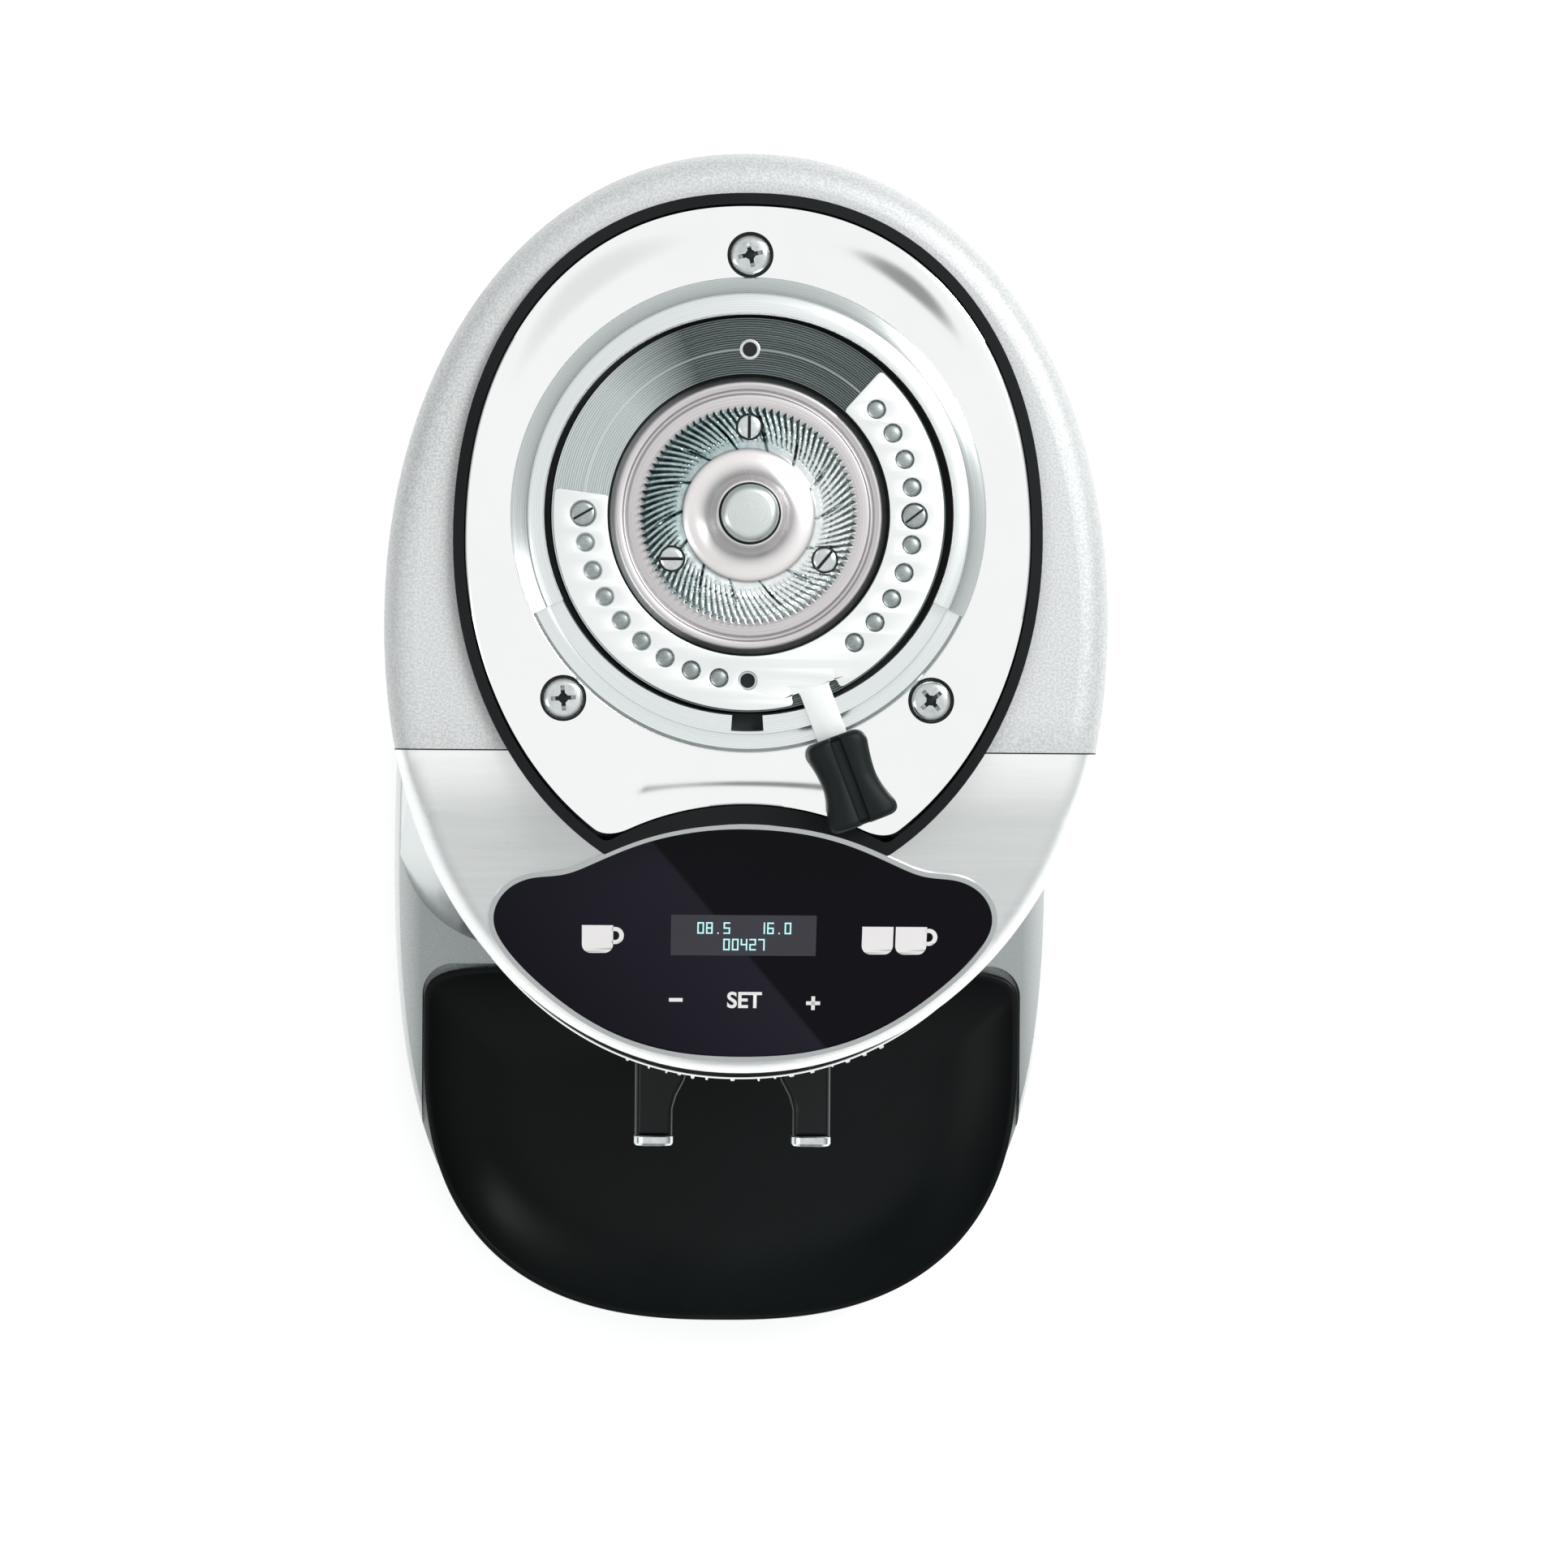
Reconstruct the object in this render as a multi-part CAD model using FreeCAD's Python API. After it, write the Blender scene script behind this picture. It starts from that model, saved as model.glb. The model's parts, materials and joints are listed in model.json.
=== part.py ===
import FreeCAD, Part
import math
import os
from FreeCAD import Vector

# Burr coffee grinder, opened for setting: hopper and upper burr holder off.
# Millimetres, +Z up, -Y to the user. Shapes are made about the burr axis, and
# save() moves them so that the origin is the middle of the footprint.

# ---- base and tray
base_half_width = 113.6
base_front = 266.0            # from the burr axis to the base's front edge
base_rear = 114.0
base_widest = -95.0
foot_height = 8.0
foot_radius = 11.0
foot_round = 1.5
foot_from_side = 38.6         # from the base's widest edge to a foot's middle
foot_from_rear = 50.0
foot_from_front = 56.0
base_top = 46.0
base_wall = 4.0
base_tuck = 5.0               # how far the base's bottom edge is drawn in
base_top_tuck = 1.8
base_ledge = 2.0              # carries the bottom cover
cable_mouth = 18.0            # how far the opening under the column is drawn in
cover_thickness = 3.0
base_screw_shank = 2.2
base_screw_head = 4.0
base_screw_from_side = 66.0
base_screw_from_end = 34.0
tray_half_width = 103.0
tray_back = -144.0
tray_corner = 10.0
tray_floor = 32.0
tray_rim = 50.0
tray_lip = 4.5
tray_depth = 13.0
tray_widest = -170.0
tray_front_power = 2.53       # makes the bowl run alongside the base's front edge
tray_rear_power = 6.0
tray_shift = 0.8              # how fast the bowl's widest line moves forward with depth
tray_gap = 0.5
tray_overlap = 0.4            # the tray's front edge covers the base's edge

# ---- body shell
shell_top = 376.0
shell_wall = 3.0
shoulder = 9.0
waist_height = 175.0
waist_half_width = 96.0
waist_front = -195.0
waist_rear = 102.0
head_bottom = 296.0
head_half_width = 106.5
head_front = 167.0            # from the burr axis to the lip of the head
head_rear = 107.0
seam = -69.0
slope_start = -60.0
slope_round = 50.0
slope_angle = 33.0
column_front = -112.0
column_toe = -142.0
vent_half_width = 32.0
vent_height = 3.0
vent_heights = range(96, 150, 9)
trim_height = 4.0
trim_proud = 1.0
under_plate = 3.0

# ---- top plate, collar and grinding chamber
plate_half_width = 83.0
plate_rear = 91.0
plate_front = 109.0
plate_widest = -8.0
plate_notch_radius = 81.7
plate_notch_top = -84.8
plate_corner_round = 3.0
plate_thickness = 4.0
gasket_width = 3.2
gasket_bow_width = 5.4
gasket_drop = 0.6
shelf = 4.0
flange_gap = 0.4
collar_bore = 59.3
collar_flat = 64.3
collar_outer = 69.5
collar_height = 7.0
collar_spigot = 62.0
window_from = -155.0
window_to = -25.0
window_rim = 1.8
notch_width = 9.0
notch_depth = 3.5
plate_screw_circle = 76.0
plate_screw_angles = (90.0, 225.0, 315.0)
plate_screw_head = 6.0
plate_screw_shank = 3.0
plate_screw_seat = 1.5        # depth of the recess that the head lies in
plate_screw_crown = 2.8
plate_screw_room = 0.75
chamber_outer = 64.0
chamber_bottom = 316.0
chamber_floor = 334.0
chamber_step = 357.0
chamber_bore = 44.0
flange_thickness = 6.0

# ---- rotor
shaft_radius = 8.5
shaft_bottom = 148.0
shaft_top = 372.0
running_gap = 0.03
seal_gap = 0.08
bearing_outer = 17.5
bearing_height = 11.0
carrier_radius = 40.0
carrier_bottom = 352.0
carrier_top = 379.5
carrier_boss = 16.0
sweeper_reach = 3.3
burr_radius = 32.0
burr_bore = 14.0
burr_bottom = 372.0
burr_top = 381.5
burr_screw_circle = 25.8
burr_screw_head = 3.5
burr_screw_shank = 2.2
cone_radius = 19.0
cone_neck = 9.6
cone_top = 395.0
button_radius = 8.5
button_height = 7.0
bolt_radius = 4.0
can_radius = 62.0
can_wall = 3.0
can_bottom = 150.0
end_bell = 14.0
stator_bore = 40.0
air_gap = 0.6
stator_bottom = 196.0
stator_top = 284.0
motor_screw_circle = 46.0
motor_screw_shank = 2.5
motor_screw_head = 4.5
motor_screw_angles = (45, 135, 225, 315)
fan_radius = 46.0
fan_height = 10.0
board_height = 58.0
board_thickness = 1.6

# ---- grind adjuster
ring_outer = 57.5
ring_bore = 41.2
ring_bottom = 358.0
ring_top = 382.3
ring_seat_gap = 0.4
index_outer = 57.0
index_thickness = 2.0
index_circle = 48.3
index_from = 172.5
index_to = 408.0
index_hole = 2.75
index_step = 10.0
ring_thread = 2.1
index_screw_head = 3.5
arm_angle = -69.0
arm_width = 9.0
arm_end = 92.0
knob_centre = 82.6
knob_length = 27.0
knob_inner = 20.0
knob_waist = 17.0
knob_outer = 24.5
knob_bottom = 382.0
knob_height = 14.0
knob_groove = 2.9

# ---- control panel
glass_thickness = 3.0
bezel_width = 1.5
panel_depth = 7.0

# ---- fork, dose button, chute
pad_depth = 0.5
guide_thickness = 4.5
guide_half_width = 31.0
guide_bottom = 178.0
guide_top = 291.0
slider_gap = 0.4
slider_thickness = 5.6
slider_half_width = 27.0
slider_bottom = 203.0
slider_top = 262.0
slot_offset = 16.0
slot_centre = 244.0
fork_travel = 10.0
clamp_shank = 2.8
clamp_head = 5.5
fork_bottom = 215.0
fork_thickness = 12.0
fork_half_width = 31.0
fork_tip_inner = 19.0
fork_root_inner = 14.0
fork_reach = 191.6            # from the burr axis to the rods' ends
fork_cap = 3.0
button_z = 281.0
button_half_width = 13.0
button_half_height = 5.0
button_pad = 4.2
button_stem = 4.0
button_travel = 3.5
stem_gap = 0.06
chute_half_width = 13.0
chute_wall = 2.0
chute_front = -160.0
chute_back = -138.0
chute_drop = 12.0

# ---- mains inlet and switch, in a flat recess at the back of the base
recess_wall = 104.0
recess_half_width = 44.0
recess_low = 12.0
recess_high = 40.0
inlet_z = 26.0
gland_x = -20.0
gland_bore = 3.75
gland_body = 6.5
gland_flange = 9.0
gland_flange_thickness = 3.0
switch_x = 18.0
rocker_half_width = 9.5
rocker_half_height = 6.0
bezel_rim = 3.5
rocker_gap = 0.4
rocker_tilt = 7.0

hair = 0.01                    # lengths under this count as none
outline_tolerance = 0.02       # how closely arcs follow a free curve
headroom = 24.0                # how far cutting shapes reach past the shell's top
far = shell_top + headroom     # beyond everything: for cutting and for halves
slope_tan = math.tan(math.radians(slope_angle))


# ---- small helpers

def box(x0, x1, y0, y1, z0, z1):
    return Part.makeBox(x1 - x0, y1 - y0, z1 - z0, Vector(x0, y0, z0))


def cylinder(radius, low, high, x=0.0, y=0.0):
    return Part.makeCylinder(radius, high - low, Vector(x, y, low))


def tube(outer, inner, low, high):
    return cylinder(outer, low, high).cut(cylinder(inner, low, high))


def rod_y(radius, y0, y1, x, z):
    return Part.makeCylinder(radius, y1 - y0, Vector(x, y0, z), Vector(0, 1, 0))


def polar(radius, degrees):
    angle = math.radians(degrees)
    return radius * math.cos(angle), radius * math.sin(angle)


def at(shape, radius, degrees, turn=0.0):
    """The shape, made at the burr axis, carried out along the given direction."""
    moved = shape.copy()
    moved.rotate(Vector(0, 0, 0), Vector(0, 0, 1), turn)
    x, y = polar(radius, degrees)
    moved.translate(Vector(x, y, 0))
    return moved


def spun(shape, degrees):
    turned = shape.copy()
    turned.rotate(Vector(0, 0, 0), Vector(0, 0, 1), degrees)
    return turned


def joined(shapes):
    whole = shapes[0]
    for shape in shapes[1:]:
        whole = whole.fuse(shape)
    return whole.removeSplitter()


def without(shape, tools):
    for tool in tools:
        shape = shape.cut(tool)
    return shape


def revolved(points):
    """A closed profile of (radius, z) points turned about the burr axis."""
    corners = [Vector(r, 0, z) for r, z in points]
    face = Part.Face(Part.makePolygon(corners + corners[:1]))
    return face.revolve(Vector(0, 0, 0), Vector(0, 0, 1), 360)


def side_prism(points, half_width):
    """A closed profile of (y, z) points drawn out to both sides."""
    corners = [Vector(-half_width, y, z) for y, z in points]
    face = Part.Face(Part.makePolygon(corners + corners[:1]))
    return face.extrude(Vector(2 * half_width, 0, 0))


def sector(radius, start, end, low, high):
    """A pie slice about the burr axis, from one angle to another."""
    wedge = Part.makeCylinder(radius, high - low, Vector(0, 0, low), Vector(0, 0, 1), end - start)
    return spun(wedge, start)


def oval(half_width, rear, front, widest, rear_power, front_power, z, count=32):
    """A smooth closed outline: a superellipse with its own front and rear."""
    points = []
    for index in range(count):
        angle = 2 * math.pi * index / count
        c, s = math.cos(angle), math.sin(angle)
        power = rear_power if s >= 0 else front_power
        reach = rear - widest if s >= 0 else widest - front
        x = half_width * math.copysign(abs(c) ** (2 / power), c)
        y = widest + reach * math.copysign(abs(s) ** (2 / power), s)
        points.append(Vector(x, y, z))
    curve = Part.BSplineCurve()
    curve.interpolate(points, PeriodicFlag=True)
    return Part.Wire([curve.toShape()])


def prism(wire, low, high):
    """A flat outline at height 0, raised into a solid."""
    solid = Part.Face(wire).extrude(Vector(0, 0, high - low))
    solid.translate(Vector(0, 0, low))
    return solid


# ---- base

def base_ring(inset, z):
    return oval(base_half_width - inset, base_rear - inset, -base_front + inset,
                base_widest, 2.1, 2.9, z)


def base_solid(inset, low, high):
    middle = (foot_height + base_top) / 2
    rings = [base_ring(inset + base_tuck, foot_height), base_ring(inset, middle),
             base_ring(inset + base_top_tuck, base_top)]
    whole = Part.makeLoft(rings, True, False)
    return whole.common(box(-far, far, -far, far, low, high))


def tray_outline(grow):
    """The tray seen from above: the base's front, straight sides, round rear corners."""
    front = prism(base_ring(-tray_overlap - grow, 0), -10, far)
    half = tray_half_width + grow
    back = tray_back + grow
    block = box(-half, half, -far, back, -10, far)
    corners = [edge for edge in block.Edges
               if edge.BoundBox.ZLength > far / 2 and edge.BoundBox.YMin > back - 1]
    block = block.makeFillet(tray_corner + grow, corners)
    return front.common(block)


def base_casting():
    body = base_solid(0, foot_height, base_top)
    pocket = tray_outline(tray_gap).common(box(-far, far, -far, far, tray_floor, far))
    side_wall = base_wall + base_ledge
    split = tray_back + side_wall
    rear_room = base_solid(side_wall, foot_height, base_top - base_wall)
    rear_room = rear_room.common(box(-far, far, split, recess_wall - side_wall, 0, far))
    front_room = base_solid(side_wall, foot_height, tray_floor - base_wall)
    front_room = front_room.common(before(split))
    mouth = body_loft(cable_mouth, 0, far).common(column_limit(cable_mouth))
    mouth = mouth.common(slab(base_top - base_wall - 1, base_top + 1))
    cover_seat = base_solid(base_wall, foot_height, foot_height + cover_thickness)
    recess = box(-recess_half_width, recess_half_width, recess_wall, far, recess_low, recess_high)
    body = without(body, [pocket, rear_room, front_room, mouth, cover_seat, recess])
    return without(body, [rod_y(gland_body, recess_wall - 20, recess_wall + 1, gland_x, inlet_z),
                          switch_hole(bezel_body_half_width(), bezel_body_half_height())])


def bottom_cover():
    cover = base_solid(base_wall, foot_height, foot_height + cover_thickness)
    holes = [cylinder(base_screw_shank, 0, far, x, y) for x, y in base_screw_places()]
    return without(cover, holes)


def foot_places():
    return [(side * (base_half_width - foot_from_side), y) for side in (-1, 1)
            for y in (base_rear - foot_from_rear, -base_front + foot_from_front)]


def feet():
    pucks = []
    for x, y in foot_places():
        puck = cylinder(foot_radius, 0, foot_height, x, y)
        low = [edge for edge in puck.Edges if edge.BoundBox.ZMax < 0.1]
        pucks.append(puck.makeFillet(foot_round, low))
    return Part.makeCompound(pucks)


def base_screw_places():
    return [(side * (base_half_width - base_screw_from_side), y) for side in (-1, 1)
            for y in (base_rear - base_screw_from_end, -base_front + base_screw_from_end)]


def base_screws():
    """Pan heads stand under the bottom cover, and the shanks end inside the base."""
    screws = []
    for x, y in base_screw_places():
        head = cylinder(base_screw_head, foot_height - 2, foot_height, x, y)
        shank = cylinder(base_screw_shank, foot_height, foot_height + cover_thickness + 4, x, y)
        slot = box(x - 3, x + 3, y - 0.4, y + 0.4, 0, foot_height - 1)
        screws.append(head.fuse(shank).cut(slot))
    return Part.makeCompound(screws)


def tray():
    """A shallow bowl with a thin lip, lying in the front of the base."""
    block = tray_outline(0).common(box(-far, far, -far, far, tray_floor, tray_rim))
    half_length = (base_front + tray_back) / 2
    rings = []
    for share, drop in ((0.0, -1.0), (0.03, 1.0), (0.12, 0.5 * tray_depth),
                        (0.26, 0.84 * tray_depth), (0.46, tray_depth)):
        inset = tray_lip + share * half_length
        widest = tray_widest - tray_shift * share * half_length
        rings.append(oval(tray_half_width - inset, tray_back - inset, -base_front + inset,
                          widest, tray_rear_power, tray_front_power, tray_rim - drop))
    bowl = Part.makeLoft(rings, True, False)
    return block.cut(bowl)


# ---- body shell

def body_loft(inset, low, high):
    """The whole body from the base up to the shoulder, drawn in by inset all round."""
    # height, half width, rear, front, where it is widest, fullness of the front
    stations = [
        (base_top - 0.01, base_half_width - 2.1, base_rear - 1.5, -base_front + 4, base_widest, 3.0),
        (waist_height - 55, waist_half_width + 3, waist_rear + 3, waist_front - 20,
         base_widest + 25, 2.5),
        (waist_height, waist_half_width, waist_rear, waist_front, -50.0, 2.3),
        (head_bottom - 61, head_half_width - 7, waist_rear + 1, -head_front - 11, -38.0, 2.1),
        (head_bottom, head_half_width - 1, head_rear - 1, -head_front - 0.2, -31.0, 2.1),
        (head_bottom + 34, head_half_width + 0.5, head_rear, -head_front, -31.0, 2.1),
        (shell_top + 4, head_half_width - 0.5, head_rear - 0.5, -head_front + 1, -31.0, 2.1)]
    rings = [oval(half - inset, rear - inset, front + inset, widest, 2.1, power, z)
             for z, half, rear, front, widest, power in stations]
    loft = Part.makeLoft(rings, True, False)
    return loft.common(box(-far, far, -far, far, max(low, base_top), min(high, shell_top + 4)))


def under_slope(drop):
    """Everything below the head's flat top and its sloping front."""
    top = shell_top - drop
    angle = math.radians(slope_angle)
    y_end = slope_start - slope_round * math.sin(angle)
    z_end = top - slope_round * (1 - math.cos(angle))
    middle = Vector(0, slope_start - slope_round * math.sin(angle / 2),
                    top - slope_round * (1 - math.cos(angle / 2)))
    z_far = z_end - (y_end + far) * slope_tan
    edges = [Part.makeLine(Vector(0, far, top), Vector(0, slope_start, top)),
             Part.Arc(Vector(0, slope_start, top), middle, Vector(0, y_end, z_end)).toShape(),
             Part.makeLine(Vector(0, y_end, z_end), Vector(0, -far, z_far)),
             Part.makeLine(Vector(0, -far, z_far), Vector(0, -far, 0)),
             Part.makeLine(Vector(0, -far, 0), Vector(0, far, 0)),
             Part.makeLine(Vector(0, far, 0), Vector(0, far, top))]
    face = Part.Face(Part.Wire(edges))
    face.translate(Vector(-far / 2, 0, 0))
    return face.extrude(Vector(far, 0, 0))


def slope_height(y):
    """Height of the sloping front's surface where it is flat."""
    angle = math.radians(slope_angle)
    y_end = slope_start - slope_round * math.sin(angle)
    z_end = shell_top - slope_round * (1 - math.cos(angle))
    return z_end - (y_end - y) * slope_tan


def head_solid(inset):
    """The body with its sloped top, its upper edge rounded into a shoulder."""
    head = body_loft(inset, base_top, far).common(under_slope(inset))
    rounding = shoulder - inset / 2
    rim = [edge for edge in head.Edges
           if edge.BoundBox.ZMin > head_bottom and edge.BoundBox.ZMax < shell_top - inset + 0.1
           and not (edge.BoundBox.YLength < 0.1 and edge.BoundBox.XLength > 50)]
    return head.makeFillet(rounding, rim)


def column_limit(inset):
    """Ends the column at its front face, which flares out to a toe at the base."""
    rings = []
    for z, front, half in ((base_top - 1, column_toe, base_half_width + 3),
                           (base_top + 34, column_front - 9, waist_half_width + 10),
                           (base_top + 90, column_front, waist_half_width + 5),
                           (head_bottom + 10, column_front, head_half_width + 4)):
        rings.append(oval(half - inset, far / 2, front + inset, -20.0, 6.0, 5.0, z))
    return Part.makeLoft(rings, True, False)


def behind(y):
    return box(-far, far, y, far, -10, far)


def before(y):
    return box(-far, far, -far, y, -10, far)


def slab(low, high):
    return box(-far, far, -far, far, low, high)


def plate_outline(grow, low, high, bow_grow=None):
    """The top plate seen from above: an egg with a bow-shaped bite out of its front."""
    if bow_grow is None:
        bow_grow = grow
    egg = prism(oval(plate_half_width + grow, plate_rear + grow, -plate_front - grow,
                     plate_widest, 2.2, 2.0, 0), low, high)
    bite = cylinder(plate_notch_radius - bow_grow, low, high, 0, plate_notch_top - plate_notch_radius)
    outline = egg.cut(bite)
    horns = [edge for edge in outline.Edges if is_horn(edge)]
    return outline.makeFillet(plate_corner_round + max(grow, 0), horns)


def is_horn(edge):
    """True for the two upright edges where the bow meets the sides of the egg."""
    box_round = edge.BoundBox
    upright = box_round.XLength < hair and box_round.YLength < hair
    return upright and box_round.YMax < plate_notch_top and abs(box_round.XMin) > notch_width


def shells():
    outer = head_solid(0)
    inner = head_solid(shell_wall)
    opening = plate_outline(-shelf, shell_top - 30, shell_top + plate_thickness)
    glass_hole = panel_outline(bezel_width).common(slab(head_bottom + 5, far))
    rear = outer.cut(inner).common(behind(seam)).cut(opening)
    vents = [box(-vent_half_width, vent_half_width, waist_rear / 2, far, z, z + vent_height)
             for z in vent_heights]
    rear = without(rear, vents)
    front = outer.cut(inner).common(before(seam)).common(slab(head_bottom, far))
    front = without(front, [opening, glass_hole])
    column = outer.common(column_limit(0))
    hollow = inner.common(column_limit(shell_wall)).common(slab(base_top - 1, head_bottom + 1))
    column = column.cut(hollow).common(before(seam)).common(slab(base_top, head_bottom))
    pad = box(-guide_half_width, guide_half_width, -far, column_front + pad_depth,
              guide_bottom, guide_top)
    column = without(column, [pad, button_passage(0.5)])
    column = without(column, [rod_y(clamp_shank, column_front - 2, column_front + 20, x, slot_centre)
                              for x in (-slot_offset, slot_offset)])
    return rear, front, column


def lip_trim():
    """A bright band standing just proud of the head's lower edge."""
    band = body_loft(-trim_proud, head_bottom - trim_height, head_bottom)
    band = band.cut(body_loft(shell_wall, head_bottom - trim_height - 1, head_bottom + 1))
    return band.common(before(column_front - 4)).cut(column_limit(-0.5))


def head_underplate():
    plate = body_loft(shell_wall, head_bottom, head_bottom + under_plate)
    plate = plate.common(before(seam)).cut(column_limit(0).common(slab(0, head_bottom + 10)))
    hole = box(-chute_half_width - chute_wall, chute_half_width + chute_wall,
               chute_front, chute_back, 0, far)
    return plate.cut(hole)


def plate_gasket():
    low, high = head_bottom + 20, shell_top + plate_thickness - gasket_drop
    ring = plate_outline(gasket_width, low, high, gasket_bow_width).cut(plate_outline(0, low, high))
    return ring.cut(under_slope(0).common(slab(head_bottom, far))).cut(panel_outline(bezel_width))


# ---- control panel

def panel_outline(grow):
    """The glass seen from above: a hump on top, round ends and a bowed lower edge."""
    half = [(0, -91.9), (-14, -92.8), (-29, -96.1), (-44.5, -102.4), (-54, -105.9), (-64, -107.2),
            (-72.0, -112.6), (-74.2, -119.6), (-70.2, -128.6), (-60.5, -139.0), (-40, -153.3),
            (-20, -159.8), (0, -161.3)]
    points = [Vector(x, y, 0) for x, y in half]
    points += [Vector(-x, y, 0) for x, y in half[-2:0:-1]]
    grown = []
    for index, here in enumerate(points):
        along = points[(index + 1) % len(points)] - points[index - 1]
        outward = Vector(along.y, -along.x, 0).normalize() * grow
        grown.append(here + outward)
    curve = Part.BSplineCurve()
    curve.interpolate(grown, PeriodicFlag=True)
    arcs = [arc.toShape() for arc in curve.toBiArcs(outline_tolerance)]
    return prism(Part.Wire(arcs), -10, far)


def slope_slab(depth_from, depth_to):
    """A layer parallel to the sloping front, between two depths below its surface."""
    rise = 1 / math.cos(math.radians(slope_angle))
    high = slope_height(0) - depth_from * rise
    low = slope_height(0) - depth_to * rise
    near, away = slope_start - 12, -200.0
    return side_prism([(near, high + near * slope_tan), (away, high + away * slope_tan),
                       (away, low + away * slope_tan), (near, low + near * slope_tan)], far / 2)


def glass_panel():
    return panel_outline(0).common(slope_slab(0, glass_thickness))


def glass_bezel():
    ring = panel_outline(bezel_width).cut(panel_outline(0))
    return ring.common(slope_slab(-0.4, glass_thickness))


def on_slope(half_width, y_high, y_low, depth_from, depth_to):
    return box(-half_width, half_width, y_low, y_high, 0, far).common(
        slope_slab(depth_from, depth_to))


def display_module():
    return on_slope(26, -113, -134, glass_thickness, panel_depth)


def control_board():
    return on_slope(46, -100, -148, panel_depth, panel_depth + board_thickness)


# ---- top plate and chamber

def plate_screw_holes(radius, low, high):
    return [at(cylinder(radius, low, high), plate_screw_circle, angle) for angle in plate_screw_angles]


def top_plate():
    top = shell_top + plate_thickness
    plate = plate_outline(0, shell_top, top)
    bore = cylinder(collar_spigot, 0, far)
    seats = plate_screw_holes(plate_screw_head + plate_screw_room, top - plate_screw_seat, far)
    return without(plate, [bore] + seats + plate_screw_holes(plate_screw_shank, 0, far))


def hopper_collar():
    """The bright ring that takes the hopper, cut low in front for the setting arm."""
    low = shell_top
    top = shell_top + plate_thickness
    ring = revolved([(collar_bore, low), (collar_spigot, low), (collar_spigot, top),
                     (collar_outer, top), (collar_outer, top + 0.8),
                     (collar_flat, top + collar_height), (collar_bore, top + collar_height)])
    window = sector(collar_outer + 5, window_from, window_to, top + window_rim, far)
    notch = box(-notch_width / 2, notch_width / 2, -collar_bore - notch_depth, 0, 0, far)
    return without(ring, [window, notch])


def phillips(x, y, top, turn):
    """A cross cut into a screw head."""
    bars = [box(-3.2, 3.2, -0.6, 0.6, top - 1.6, top + 3),
            box(-0.6, 0.6, -3.2, 3.2, top - 1.6, top + 3)]
    return [at(bar, math.hypot(x, y), math.degrees(math.atan2(y, x)), turn) for bar in bars]


def plate_screws():
    seat = shell_top + plate_thickness - plate_screw_seat
    crown = Part.makeSphere(11, Vector(0, 0, seat + plate_screw_crown - 11))
    screws = []
    for angle, turn in zip(plate_screw_angles, (12.0, 4.0, 40.0)):
        head = cylinder(plate_screw_head, seat, seat + 4).common(crown)
        screw = at(head.fuse(cylinder(plate_screw_shank, seat - 8, seat)), plate_screw_circle, angle)
        x, y = polar(plate_screw_circle, angle)
        screws.append(without(screw, phillips(x, y, seat + plate_screw_crown, turn)))
    return Part.makeCompound(screws)


def chute_profile(inset):
    """Side view of the way that the ground coffee takes, drawn in by inset."""
    top_in = chamber_step - 4 - inset
    low_in = chamber_floor + inset
    near = -chamber_outer + 2
    drop = head_bottom - chute_drop
    return [(near, top_in), (near, low_in), (chute_back - inset, head_bottom + 3 + 1.5 * inset),
            (chute_back - inset, drop), (chute_front + inset, drop),
            (chute_front + inset, head_bottom + 5), (chute_front + 12, head_bottom + 14 - inset),
            (-chamber_outer - 34, top_in - 13)]


def chute():
    outer = side_prism(chute_profile(0), chute_half_width + chute_wall)
    inner = side_prism(chute_profile(chute_wall), chute_half_width)
    return outer.cut(inner).cut(cylinder(chamber_outer, 0, far))


def grinding_chamber():
    """Cup around the burrs, with a flange under the top plate and a port to the chute."""
    pot = cylinder(chamber_outer, chamber_bottom, shell_top)
    flange = plate_outline(-shelf - flange_gap, shell_top - flange_thickness, shell_top)
    pot = joined([pot, flange.common(box(-far, far, slope_start + 4, far, 0, far))])
    ears = [at(cylinder(7, shell_top - 12, shell_top), plate_screw_circle, angle)
            for angle in plate_screw_angles]
    pot = joined([pot] + ears)
    port = box(-chute_half_width, chute_half_width, -chamber_outer - 2, 0,
               chamber_floor + chute_wall, chamber_step - 4 - chute_wall)
    cuts = [cylinder(ring_outer + ring_seat_gap, chamber_step, far),
            cylinder(chamber_bore, chamber_floor, far),
            cylinder(bearing_outer, chamber_bottom + 2, chamber_bottom + 2 + bearing_height),
            cylinder(shaft_radius + 2, 0, far), port]
    cuts += plate_screw_holes(plate_screw_shank, 0, far)
    cuts += motor_screw_holes()
    return without(pot, cuts)


def motor_screw_holes():
    hole = cylinder(motor_screw_shank, chamber_bottom - 5, chamber_bottom + 10)
    return [at(hole, motor_screw_circle, angle) for angle in motor_screw_angles]


def motor_screws():
    low = chamber_bottom - can_wall
    head = cylinder(motor_screw_head, low - 3, low)
    screw = head.fuse(cylinder(motor_screw_shank, low, chamber_bottom + 10))
    return Part.makeCompound([at(screw, motor_screw_circle, angle) for angle in motor_screw_angles])


def shaft_seal():
    return tube(14, shaft_radius + seal_gap, chamber_floor, chamber_floor + 5)


# ---- motor

def motor_housing():
    can = cylinder(can_radius, can_bottom, chamber_bottom)
    room = cylinder(can_radius - can_wall, can_bottom + end_bell, chamber_bottom - can_wall)
    seat = cylinder(bearing_outer, can_bottom + 3, can_bottom + 3 + bearing_height)
    hole = cylinder(shaft_radius + 2, 0, far)
    return without(can, [room, seat, hole] + motor_screw_holes())


def bearing(low):
    return tube(bearing_outer, shaft_radius + running_gap, low, low + bearing_height)


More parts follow.
